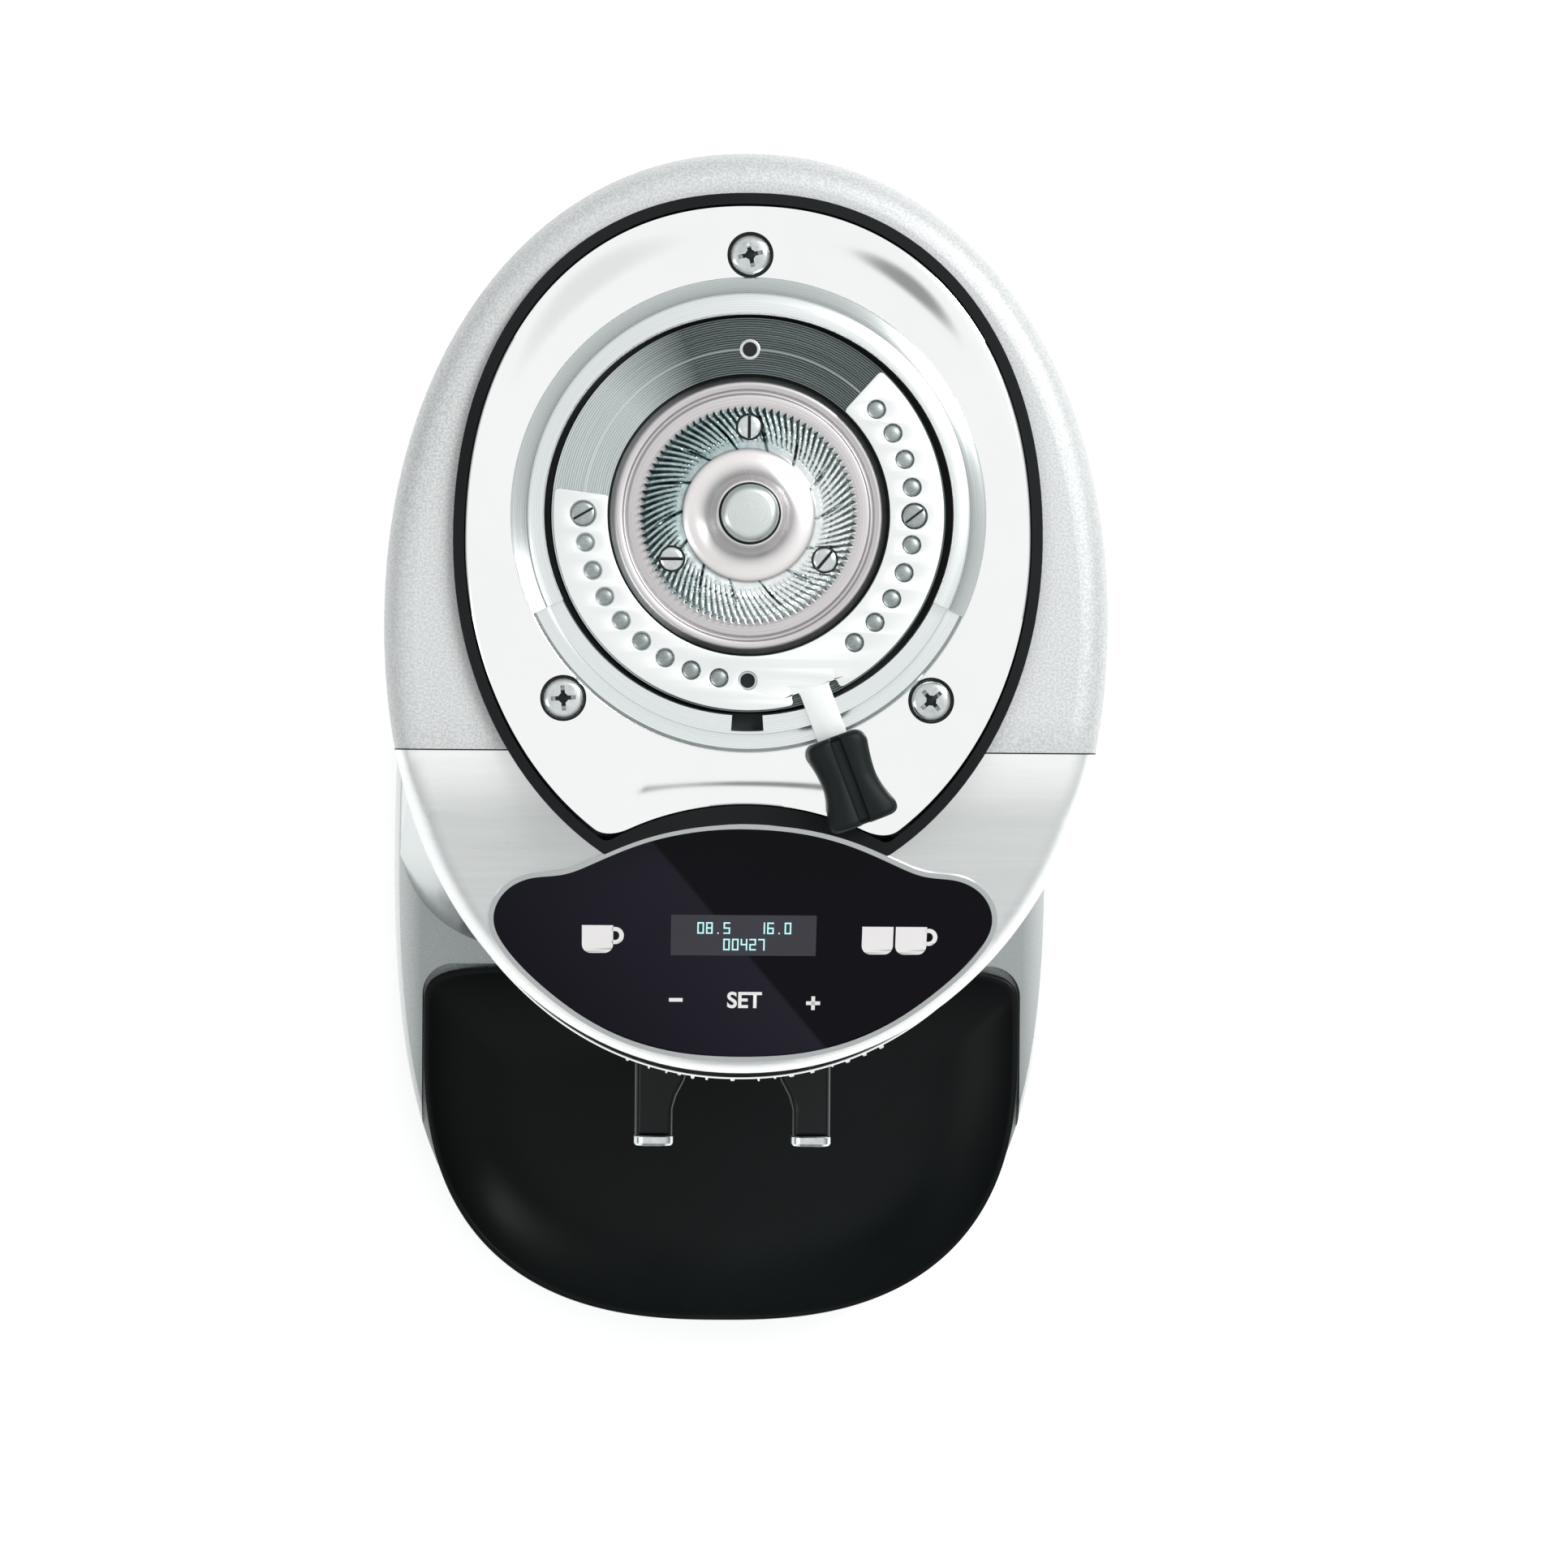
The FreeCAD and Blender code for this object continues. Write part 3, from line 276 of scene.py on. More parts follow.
# fine rings about the burr axis, as a lathe tool leaves them
def makeTurnedGroup():
    group, into, out = newGroup("turnedRings",
                                [("Rings per metre", "NodeSocketFloat", 2500.0),
                                 ("Waver", "NodeSocketFloat", 0.4)],
                                [("Height", "NodeSocketFloat"), ("Tone", "NodeSocketFloat")])
    coords = objectCoords(group)
    split = group.nodes.new("ShaderNodeSeparateXYZ")
    group.links.new(coords, split.inputs[0])
    dx = mathNode(group, "SUBTRACT", split.outputs[0], axisX)
    dy = mathNode(group, "SUBTRACT", split.outputs[1], axisY)
    radius = mathNode(group, "SQRT", mathNode(group, "ADD", mathNode(group, "MULTIPLY", dx, dx),
                                             mathNode(group, "MULTIPLY", dy, dy)))
    wobble = mathNode(group, "MULTIPLY", noise(group, 900.0, 2.0, coords), into.outputs["Waver"])
    turns = mathNode(group, "MULTIPLY", radius, into.outputs["Rings per metre"])
    phase = mathNode(group, "ADD", turns, wobble)
    wave = mathNode(group, "SINE", mathNode(group, "MULTIPLY", phase, 2 * math.pi))
    group.links.new(mapRange(group, wave, -1, 1), out.inputs["Height"])
    turn = mathNode(group, "ARCTAN2", dy, dx)
    streak = group.nodes.new("ShaderNodeCombineXYZ")
    group.links.new(mathNode(group, "MULTIPLY", radius, 6000.0), streak.inputs[0])
    group.links.new(mathNode(group, "MULTIPLY", turn, 1.2), streak.inputs[1])
    group.links.new(noise(group, 1.0, 2.0, streak.outputs[0]), out.inputs["Tone"])
    return group


# even fine grain, for cast, painted and moulded surfaces
def makeGrainGroup():
    group, into, out = newGroup("surfaceGrain",
                                [("Grains per metre", "NodeSocketFloat", 1500.0),
                                 ("Patches per metre", "NodeSocketFloat", 18.0)],
                                [("Height", "NodeSocketFloat"), ("Fleck", "NodeSocketFloat"),
                                 ("Patch", "NodeSocketFloat")])
    coords = objectCoords(group)
    fine = group.nodes.new("ShaderNodeTexNoise")
    fine.inputs["Detail"].default_value = 2.5
    group.links.new(coords, fine.inputs["Vector"])
    group.links.new(into.outputs["Grains per metre"], fine.inputs["Scale"])
    group.links.new(fine.outputs[0], out.inputs["Height"])
    group.links.new(mapRange(group, fine.outputs[0], 0.40, 0.60), out.inputs["Fleck"])
    patch = group.nodes.new("ShaderNodeTexNoise")
    patch.inputs["Detail"].default_value = 4.0
    group.links.new(coords, patch.inputs["Vector"])
    group.links.new(into.outputs["Patches per metre"], patch.inputs["Scale"])
    group.links.new(patch.outputs[0], out.inputs["Patch"])
    return group


# long fine scratches along one direction, with a slow change of tone
def makeBrushedGroup():
    group, into, out = newGroup("brushedLines",
                                [("Stretch", "NodeSocketVector", (1.0, 1.0, 1.0))],
                                [("Height", "NodeSocketFloat"), ("Tone", "NodeSocketFloat")])
    coords = objectCoords(group)
    scaled = group.nodes.new("ShaderNodeVectorMath")
    scaled.operation = "MULTIPLY"
    group.links.new(coords, scaled.inputs[0])
    group.links.new(into.outputs["Stretch"], scaled.inputs[1])
    group.links.new(noise(group, 1.0, 3.0, scaled.outputs[0], 0.7), out.inputs["Height"])
    group.links.new(noise(group, 14.0, 3.0, coords), out.inputs["Tone"])
    return group


turnedRings = makeTurnedGroup()
surfaceGrain = makeGrainGroup()
brushedLines = makeBrushedGroup()
print("shader groups ready")


# materials

def newMaterial(name, metallic=0.0, roughness=0.4, specular=0.5, coat=0.0, coatRough=0.1):
    material = bpy.data.materials.new(name)
    material.use_nodes = True
    tree = material.node_tree
    shader = tree.nodes["Principled BSDF"]
    shader.inputs["Metallic"].default_value = metallic
    shader.inputs["Roughness"].default_value = roughness
    shader.inputs["Specular IOR Level"].default_value = specular
    shader.inputs["Coat Weight"].default_value = coat
    shader.inputs["Coat Roughness"].default_value = coatRough
    return material, tree, shader


def placeGroup(tree, group, **values):
    node = tree.nodes.new("ShaderNodeGroup")
    node.node_tree = group
    for label, value in values.items():
        node.inputs[label.replace("_", " ")].default_value = value
    return node


def mixColour(tree, mask, first, second):
    node = tree.nodes.new("ShaderNodeMix")
    node.data_type = "RGBA"
    tree.links.new(mask, node.inputs["Factor"])
    for socket, value in ((node.inputs[6], first), (node.inputs[7], second)):
        if isinstance(value, tuple):
            socket.default_value = (*value, 1.0)
        else:
            tree.links.new(value, socket)
    return node.outputs[2]


def bump(tree, shader, height, strength, distance):
    node = tree.nodes.new("ShaderNodeBump")
    node.inputs["Strength"].default_value = strength
    node.inputs["Distance"].default_value = distance
    tree.links.new(height, node.inputs["Height"])
    tree.links.new(node.outputs[0], shader.inputs["Normal"])


def setColour(tree, shader, socket, label="Base Color"):
    tree.links.new(socket, shader.inputs[label])


def grainedMaterial(name, light, dark, fleck=None, metallic=0.0, rough=(0.4, 0.5), grains=1500.0,
                    height=0.00002, strength=0.3, patches=18.0, specular=0.5, coat=0.0):
    material, tree, shader = newMaterial(name, metallic, rough[0], specular, coat)
    grain = placeGroup(tree, surfaceGrain, Grains_per_metre=grains, Patches_per_metre=patches)
    colour = mixColour(tree, mapRange(tree, grain.outputs["Patch"], 0.3, 0.7), dark, light)
    if fleck:
        colour = mixColour(tree, grain.outputs["Fleck"], colour, fleck)
    setColour(tree, shader, colour)
    tree.links.new(mapRange(tree, grain.outputs["Patch"], 0.3, 0.7, rough[0], rough[1]),
                   shader.inputs["Roughness"])
    bump(tree, shader, grain.outputs["Height"], strength, height)
    return material


def brushedMaterial(name, light, dark, stretch, rough=(0.2, 0.34), height=0.000006, strength=0.25,
                    metallic=1.0):
    material, tree, shader = newMaterial(name, metallic, rough[0])
    lines = placeGroup(tree, brushedLines, Stretch=stretch)
    blend = mathNode(tree, "ADD", mathNode(tree, "MULTIPLY", lines.outputs["Height"], 0.5),
                     mathNode(tree, "MULTIPLY", lines.outputs["Tone"], 0.5))
    setColour(tree, shader, mixColour(tree, mapRange(tree, blend, 0.35, 0.65), dark, light))
    tree.links.new(mapRange(tree, blend, 0.3, 0.7, rough[0], rough[1]), shader.inputs["Roughness"])
    bump(tree, shader, lines.outputs["Height"], strength, height)
    return material


def turnedMaterial(name, light, dark, rings, rough=(0.22, 0.36), height=0.00001, strength=0.4, waver=0.4):
    material, tree, shader = newMaterial(name, 1.0, rough[0])
    lines = placeGroup(tree, turnedRings, Rings_per_metre=rings, Waver=waver)
    blend = mathNode(tree, "ADD", mathNode(tree, "MULTIPLY", lines.outputs["Height"], 0.35),
                     mathNode(tree, "MULTIPLY", lines.outputs["Tone"], 0.65))
    setColour(tree, shader, mixColour(tree, mapRange(tree, blend, 0.3, 0.7), dark, light))
    tree.links.new(mapRange(tree, lines.outputs["Tone"], 0.3, 0.7, rough[0], rough[1]),
                   shader.inputs["Roughness"])
    bump(tree, shader, lines.outputs["Height"], strength, height)
    return material


shellPaint = grainedMaterial("texturedShellPaint", (0.50, 0.515, 0.515), (0.45, 0.465, 0.465),
                             fleck=(0.60, 0.615, 0.615), metallic=0.25, rough=(0.42, 0.52),
                             grains=1500.0, height=0.00006, strength=0.6)
satinCover = brushedMaterial("satinCover", (0.88, 0.90, 0.895), (0.82, 0.84, 0.835),
                             (30.0, 400.0, 400.0), rough=(0.26, 0.36), strength=0.10, metallic=0.6)
brightChrome = brushedMaterial("brightChrome", (0.90, 0.92, 0.92), (0.82, 0.85, 0.85),
                               (60.0, 60.0, 60.0), rough=(0.06, 0.12), strength=0.05)
polishedPlate = brushedMaterial("polishedPlate", (0.98, 0.99, 0.99), (0.95, 0.96, 0.96),
                                (25.0, 25.0, 25.0), rough=(0.05, 0.08), strength=0.02)
gasketRubber = grainedMaterial("gasketRubber", (0.007, 0.009, 0.010), (0.004, 0.005, 0.006),
                               rough=(0.42, 0.55), grains=1800.0, specular=0.12)
footRubber = grainedMaterial("footRubber", (0.03, 0.03, 0.03), (0.02, 0.02, 0.02), rough=(0.6, 0.75))
trayBlack = grainedMaterial("traySatinBlack", (0.0024, 0.0040, 0.0041), (0.0016, 0.0028, 0.0030),
                            rough=(0.30, 0.36), grains=2600.0, height=0.000012, strength=0.25,
                            specular=0.12)
underBlack = grainedMaterial("underBlack", (0.02, 0.021, 0.021), (0.013, 0.014, 0.014), rough=(0.45, 0.6),
                             specular=0.3)
indexSteel = grainedMaterial("indexSteel", (0.80, 0.83, 0.825), (0.74, 0.77, 0.765), metallic=0.8,
                             rough=(0.34, 0.42), grains=3200.0, height=0.000008, strength=0.15)
carrierAlloy = turnedMaterial("carrierAlloy", (0.56, 0.54, 0.545), (0.50, 0.48, 0.485), 1100.0,
                              rough=(0.36, 0.46), height=0.000003, strength=0.2)
coneAlloy = grainedMaterial("coneAlloy", (0.84, 0.81, 0.81), (0.78, 0.75, 0.75), metallic=0.85,
                            rough=(0.24, 0.32), grains=3000.0, height=0.000004, strength=0.15)
hubSteel = turnedMaterial("hubSteel", (0.68, 0.73, 0.72), (0.58, 0.63, 0.62), 1500.0, rough=(0.26, 0.34),
                          height=0.000003, strength=0.2)
screwSteel = brushedMaterial("screwSteel", (0.74, 0.77, 0.77), (0.52, 0.56, 0.56), (400.0, 400.0, 400.0),
                             rough=(0.16, 0.26))
# near black for painted shade: dark rings, bars and discs set in gaps, slots, holes and the shell seam
paintedRecessShade = grainedMaterial("paintedRecessShade", (0.02, 0.024, 0.024), (0.010, 0.012, 0.012), metallic=0.5,
                             rough=(0.4, 0.5), specular=0.2)
knobRubber = grainedMaterial("knobRubber", (0.008, 0.012, 0.013), (0.005, 0.008, 0.009),
                             rough=(0.42, 0.54), grains=2200.0, height=0.00002, specular=0.14)
forkBlack = grainedMaterial("forkBlack", (0.006, 0.008, 0.009), (0.004, 0.006, 0.006), rough=(0.16, 0.24),
                            grains=2000.0, height=0.00001, specular=0.2)
chamberAlloy = grainedMaterial("chamberAlloy", (0.030, 0.034, 0.034), (0.018, 0.021, 0.021), metallic=0.3,
                               rough=(0.5, 0.6), grains=1200.0, specular=0.2)
holeSteel = brushedMaterial("holeSteel", (0.42, 0.46, 0.46), (0.22, 0.25, 0.25), (900.0, 2600.0, 900.0),
                            rough=(0.3, 0.4))
motorSteel = grainedMaterial("motorSteel", (0.22, 0.23, 0.24), (0.16, 0.17, 0.18), metallic=0.6)
lamination = brushedMaterial("lamination", (0.35, 0.35, 0.35), (0.22, 0.22, 0.22), (40.0, 40.0, 2400.0))
copperWinding = brushedMaterial("copperWinding", (0.62, 0.28, 0.12), (0.40, 0.16, 0.06),
                                (60.0, 60.0, 1500.0), rough=(0.3, 0.4))
boardGreen = grainedMaterial("boardGreen", (0.02, 0.16, 0.07), (0.015, 0.11, 0.05), rough=(0.3, 0.4))
plainPlastic = grainedMaterial("plainPlastic", (0.05, 0.05, 0.055), (0.035, 0.035, 0.04), rough=(0.42, 0.52))
switchBlack = grainedMaterial("switchBlack", (0.02, 0.02, 0.02), (0.013, 0.013, 0.013), rough=(0.2, 0.3),
                              coat=0.3)
iconWhite = grainedMaterial("iconWhite", (0.86, 0.84, 0.84), (0.80, 0.78, 0.78), rough=(0.4, 0.5))
displayTint = grainedMaterial("displayTint", (0.055, 0.055, 0.066), (0.042, 0.042, 0.052),
                              rough=(0.25, 0.35), grains=4000.0, specular=0.15)


# satin metal with painted shade: it darkens along one direction: away from the middle (x) or towards one end
# (y)
def shadedMetal(name, axis, start, end, bright, dark, metallic, rough):
    material, tree, shader = newMaterial(name, metallic)
    coords = objectCoords(tree)
    split = tree.nodes.new("ShaderNodeSeparateXYZ")
    tree.links.new(coords, split.inputs[0])
    place = split.outputs[axis]
    if axis == 0:
        place = mathNode(tree, "ABSOLUTE", mathNode(tree, "SUBTRACT", place, axisX))
    grain = noise(tree, 2400.0, 2.5, coords)
    share = mathNode(tree, "ADD", mapRange(tree, place, start, end),
                     mapRange(tree, grain, 0.3, 0.7, -0.06, 0.06))
    setColour(tree, shader, mixColour(tree, share, bright, dark))
    tree.links.new(mapRange(tree, grain, 0.3, 0.7, *rough), shader.inputs["Roughness"])
    bump(tree, shader, grain, 0.2, 0.00001)
    return material


# faced steel ring: fine rings, a scribed circle, and a painted reflection that is lighter on the left and
# darker elsewhere
def makeRingSteel():
    material, tree, shader = newMaterial("turnedSteel", 1.0, 0.28)
    lines = placeGroup(tree, turnedRings, Rings_per_metre=1500.0, Waver=0.5)
    coords = objectCoords(tree)
    split = tree.nodes.new("ShaderNodeSeparateXYZ")
    tree.links.new(coords, split.inputs[0])
    dx = mathNode(tree, "SUBTRACT", split.outputs[0], axisX)
    dy = mathNode(tree, "SUBTRACT", split.outputs[1], axisY)
    radius = mathNode(tree, "SQRT", mathNode(tree, "ADD", mathNode(tree, "MULTIPLY", dx, dx),
                                             mathNode(tree, "MULTIPLY", dy, dy)))
    # painted reflection: share of the way round from the right (0) to the left (1), lighter on the left
    across = mathNode(tree, "DIVIDE", dx, radius)
    light = mapRange(tree, across, -0.35, -0.75)
    shade = mixColour(tree, light, (0.030, 0.040, 0.040), (0.38, 0.43, 0.43))
    tone = mathNode(tree, "ADD", mathNode(tree, "MULTIPLY", lines.outputs["Height"], 0.45),
                    mathNode(tree, "MULTIPLY", lines.outputs["Tone"], 0.55))
    bright = mixColour(tree, light, (0.17, 0.20, 0.20), (0.62, 0.67, 0.67))
    colour = mixColour(tree, mapRange(tree, tone, 0.35, 0.75), shade, bright)
    gap = mathNode(tree, "ABSOLUTE", mathNode(tree, "SUBTRACT", radius, 0.0483))
    scribed = mapRange(tree, gap, 0.00028, 0.00010)
    colour = mixColour(tree, mathNode(tree, "MULTIPLY", scribed, 0.42), colour, (0.70, 0.73, 0.73))
    setColour(tree, shader, colour)
    tree.links.new(mapRange(tree, lines.outputs["Tone"], 0.3, 0.7, 0.24, 0.36), shader.inputs["Roughness"])
    bump(tree, shader, lines.outputs["Height"], 0.5, 0.00002)
    return material


# smoked glass: near black, with a painted reflection: a paler tint on one side of a slanting line
def makeGlass():
    material, tree, shader = newMaterial("panelGlass", 0.0, 0.04, specular=0.15)
    coords = objectCoords(tree)
    split = tree.nodes.new("ShaderNodeSeparateXYZ")
    tree.links.new(coords, split.inputs[0])
    # signed distance from the slanting line across the glass
    along = mathNode(tree, "MULTIPLY", split.outputs[0], glassReflectionLine["slantX"])
    up = mathNode(tree, "MULTIPLY", split.outputs[1], glassReflectionLine["slantY"])
    side = mathNode(tree, "ADD", along, up)
    edge = mapRange(tree, side, glassReflectionLine["offset"] - 0.0006, glassReflectionLine["offset"] + 0.0006)
    fade = mapRange(tree, side, glassReflectionLine["offset"] - 0.055, glassReflectionLine["offset"])
    # painted reflection: brightest next to the slanting line, fading out over 55 mm on that side
    pale = mixColour(tree, fade, (0.0035, 0.0028, 0.0075), (0.013, 0.012, 0.021))
    setColour(tree, shader, mixColour(tree, edge, pale, (0.0018, 0.0016, 0.0042)))
    smear = noise(tree, 30.0, 4.0, coords)
    tree.links.new(mapRange(tree, smear, 0.3, 0.7, 0.03, 0.07), shader.inputs["Roughness"])
    bump(tree, shader, smear, 0.05, 0.00001)
    return material


# lit display dots
def makeGlow():
    material, tree, shader = newMaterial("displayGlow", 0.0, 0.4)
    speck = noise(tree, 2500.0, 2.0, objectCoords(tree))
    colour = mixColour(tree, mapRange(tree, speck, 0.3, 0.7), (0.32, 0.62, 0.62), (0.50, 0.85, 0.85))
    setColour(tree, shader, colour, "Emission Color")
    setColour(tree, shader, colour)
    shader.inputs["Emission Strength"].default_value = 0.5
    return material


def makeBurrSteel():
    material, tree, shader = newMaterial("burrSteel", 1.0, 0.2)
    coords = objectCoords(tree)
    split = tree.nodes.new("ShaderNodeSeparateXYZ")
    tree.links.new(coords, split.inputs[0])
    dx = mathNode(tree, "SUBTRACT", split.outputs[0], axisX)
    dy = mathNode(tree, "SUBTRACT", split.outputs[1], axisY)
    radius = mathNode(tree, "SQRT", mathNode(tree, "ADD", mathNode(tree, "MULTIPLY", dx, dx),
                                             mathNode(tree, "MULTIPLY", dy, dy)))
    across = mathNode(tree, "DIVIDE", dx, radius)
    ahead = mathNode(tree, "DIVIDE", dy, radius)
    # painted shade and highlight: the ground faces are darker at the rear left, and brighter at the front
    # right
    lean = mathNode(tree, "SUBTRACT", mathNode(tree, "MULTIPLY", across, 0.8),
                    mathNode(tree, "MULTIPLY", ahead, 0.5))
    light = mapRange(tree, lean, -0.8, 0.5)
    scratch = noise(tree, 420.0, 3.0, coords)
    face = mixColour(tree, light, (0.50, 0.60, 0.605), (0.94, 0.97, 0.965))
    worn = mixColour(tree, light, (0.36, 0.44, 0.445), (0.82, 0.87, 0.87))
    colour = mixColour(tree, mapRange(tree, scratch, 0.35, 0.65), worn, face)
    # painted shade where the face sinks below the tops of the outer teeth, weaker at the front
    level = split.outputs[2]
    sunk = mapRange(tree, level, (burr["top"] - 0.95) * mm, (burr["top"] - 0.25) * mm)
    outside = mapRange(tree, radius, (burr["fineFrom"] - 0.5) * mm, (burr["fineFrom"] + 2.0) * mm)
    paintedGulletShade = mathNode(tree, "MULTIPLY", mathNode(tree, "SUBTRACT", 1.0, sunk), outside)
    gulletShadeAmount = mapRange(tree, ahead, -0.95, -0.2, 0.25, 0.58)
    colour = mixColour(tree, mathNode(tree, "MULTIPLY", paintedGulletShade, gulletShadeAmount), colour, (0.05, 0.068, 0.068))
    setColour(tree, shader, colour)
    tree.links.new(mapRange(tree, scratch, 0.3, 0.7, 0.14, 0.26), shader.inputs["Roughness"])
    bump(tree, shader, scratch, 0.15, 0.00001)
    return material


burr = {"inner": 15.0, "outer": 32.0, "top": 381.5, "bottom": 372.0, "teeth": 92, "perTooth": 11,
        "rows": 44, "fineFrom": 21.5, "lean": 0.50, "longLines": 14, "cone": 1.6, "bite": 1.9,
        "screwCircle": 25.8, "seat": 3.95, "screws": ((90, 90), (210, 0), (330, 50))}
burrSteel = makeBurrSteel()
# the slanting line that bounds the painted reflection on the glass
glassReflectionLine = {"slantX": 0.763, "slantY": 0.646, "offset": -0.0335}
turnedSteel = makeRingSteel()
# painted shade: the base's side strips darker from their outer edge in towards the tray
baseSilver = shadedMetal("baseSilver", 0, 0.1125, 0.1040, (0.66, 0.69, 0.685), (0.34, 0.37, 0.37),
                         0.8, (0.24, 0.32))
# painted shade: the column's front darker towards the front, by the tray and the crease
columnPaint = shadedMetal("columnSatin", 1, axisY - 0.105, axisY - 0.150, (0.72, 0.76, 0.75),
                          (0.40, 0.44, 0.44), 0.75, (0.16, 0.24))
panelGlass = makeGlass()
displayGlow = makeGlow()
print("materials ready")

slotMaterial = {
    "shell_paint": shellPaint, "cover_aluminium": satinCover, "bright_chrome": brightChrome,
    "base_silver": baseSilver, "gasket_rubber": gasketRubber, "foot_rubber": footRubber,
    "tray_black": trayBlack, "panel_glass": panelGlass, "under_black": underBlack,
    "turned_steel": turnedSteel, "index_steel": indexSteel, "burr_steel": burrSteel,
    "carrier_alloy": carrierAlloy, "hub_steel": hubSteel, "screw_steel": screwSteel,
    "knob_rubber": knobRubber, "fork_black": forkBlack, "chamber_alloy": chamberAlloy,
    "motor_steel": motorSteel, "lamination": lamination, "copper_winding": copperWinding,
    "board_green": boardGreen, "plain_plastic": plainPlastic, "switch_black": switchBlack}

for part in frame["record"]["subparts"]:
    cadNode = nodeObject[part["node"]]
    cadNode.data.materials.clear()
    cadNode.data.materials.append(slotMaterial[part["material_slot"]])
nodeObject["column_cover"].data.materials[0] = columnPaint
print("packed pieces painted")


# turned pieces on the burr axis

def millimetres(profile):
    return [(radius * mm, height * mm) for radius, height in profile]


carrier = {"inner": 29.8, "outer": 40.5, "top": 379.5, "boss": 16.0, "bore": 8.5,
           "foot": 342.0, "floor": 352.0, "seat": 372.0, "sweepers": (0, 120, 240)}


def makeCarrier():
    c = carrier
    top = c["top"]
    face = [(c["inner"], top - 1.2), (c["inner"], top - 0.1), (35.3, top), (35.7, top - 0.7),
            (36.5, top - 0.7), (36.8, top + 0.1), (38.3, top + 0.25), (39.0, top + 0.1),
            (39.7, top - 0.5), (c["outer"], top - 1.3)]
    profile = rounded(face, 0.35, 3) + [
        (c["outer"], c["floor"]), (c["boss"], c["floor"]), (c["boss"], c["foot"]), (c["bore"], c["foot"]),
        (c["bore"], c["seat"]), (c["inner"], c["seat"])]
    disc = lathe("burrCarrier", millimetres(profile), "rotor", carrierAlloy, 240)
    whole = bmesh.new()
    whole.from_mesh(disc.data)
    for angle in c["sweepers"]:
        finger = bmesh.ops.create_cube(whole, size=1.0)["verts"]
        place = Matrix.Translation((axisX, axisY, (c["floor"] + 2) * mm))
        place = place @ Matrix.Rotation(math.radians(angle), 4, "Z")
        place = place @ Matrix.Translation((39.65 * mm, 0, 0))
        place = place @ Matrix.Diagonal((7.3 * mm, 8 * mm, 4 * mm, 1))
        bmesh.ops.transform(whole, matrix=place, verts=finger)
    whole.to_mesh(disc.data)
    whole.free()
    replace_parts(disc, "burr_carrier")
    # painted shade: a dark ring in the gap around the carrier's rim
    gap = [(c["outer"] - 0.2, 377.0), (c["outer"] - 0.2, 377.6), (41.15, 377.6), (41.15, 377.0)]
    lathe("carrierGapShade", millimetres(gap), "rotor", paintedRecessShade, 160)


# how far into a gullet a point lies: 0 on a tooth, 1 at the deepest line between two teeth
def gullet(radius, angle):
    b = burr
    out = (radius - b["fineFrom"]) / (b["outer"] - b["fineFrom"])
    if out <= 0:
        return 0.0, 0.0
    lean = b["lean"] * math.log(radius / b["fineFrom"])
    phase = ((angle - lean) * b["teeth"] / (2 * math.pi)) % 1.0
    width = 0.34 + 0.40 * out
    share = phase / width
    if share > 1:
        return 0.0, out
    return (share / 0.7 if share < 0.7 else (1 - share) / 0.3), out


# height of the burr's face: a cone inside, slanting saw teeth outside, long cutting lines
def burrHeight(radius, angle):
    b = burr
    depth, out = gullet(radius, angle)
    height = b["top"] - b["cone"] * max(0.0, (26.0 - radius) / 11.0) ** 1.3
    height -= depth * (0.35 + 1.35 * max(out, 0.0) ** 0.7)
    lean = b["lean"] * math.log(radius / b["fineFrom"])
    longPhase = ((angle - lean) * b["longLines"] / (2 * math.pi)) % 1.0
    offset = min(longPhase, 1 - longPhase) * 2 * math.pi * radius / b["longLines"]
    reach = 1.0 if radius < 25 else max(0.0, 1 - (radius - 25) / 3)
    return height - 1.3 * reach * max(0.0, 1 - offset / 0.45)


def makeBurr():
    b = burr
    steps = b["teeth"] * b["perTooth"]
    turns = [2 * math.pi * i / steps for i in range(steps)]
    # the rim is bitten back where a gullet runs out, so the teeth end in points
    rims = [b["outer"] - 0.1 - b["bite"] * gullet(b["outer"], turn)[0] for turn in turns]
    rings = [[(b["inner"], b["bottom"])] * steps]
    for row in range(b["rows"]):
        share = row / (b["rows"] - 1)
        ring = []
        for turn, rim in zip(turns, rims):
            radius = b["inner"] + (rim - b["inner"]) * share
            ring.append((radius, burrHeight(radius, turn)))
        rings.append(ring)
    rings.append([(rim, b["top"] - 3.2) for rim in rims])
    rings.append([(b["outer"], b["top"] - 3.3)] * steps)
    rings.append([(b["outer"], b["bottom"])] * steps)
    verts = []
    for ring in rings:
        for turn, (radius, height) in zip(turns, ring):
            reach = radius * mm
            verts.append((axisX + reach * math.cos(turn), axisY + reach * math.sin(turn), height * mm))
    faces = ringFaces(len(rings), steps)
    last = (len(rings) - 1) * steps
    faces += [(i, last + i, last + (i + 1) % steps, (i + 1) % steps) for i in range(steps)]
    piece = newPiece("lowerBurr", verts, faces, "rotor", burrSteel, angle=28)
    for angle, _ in b["screws"]:
        x, y = polar(b["screwCircle"] * mm, angle)
        cutWith(piece, cutterFrom(*prismData(circle(x, y, b["seat"] * mm, 48),
                                             (b["top"] - 2.2) * mm, (b["top"] + 3) * mm)))
    finishPiece(piece, "rotor", burrSteel, angle=28)
    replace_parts(piece, "lower_burr")


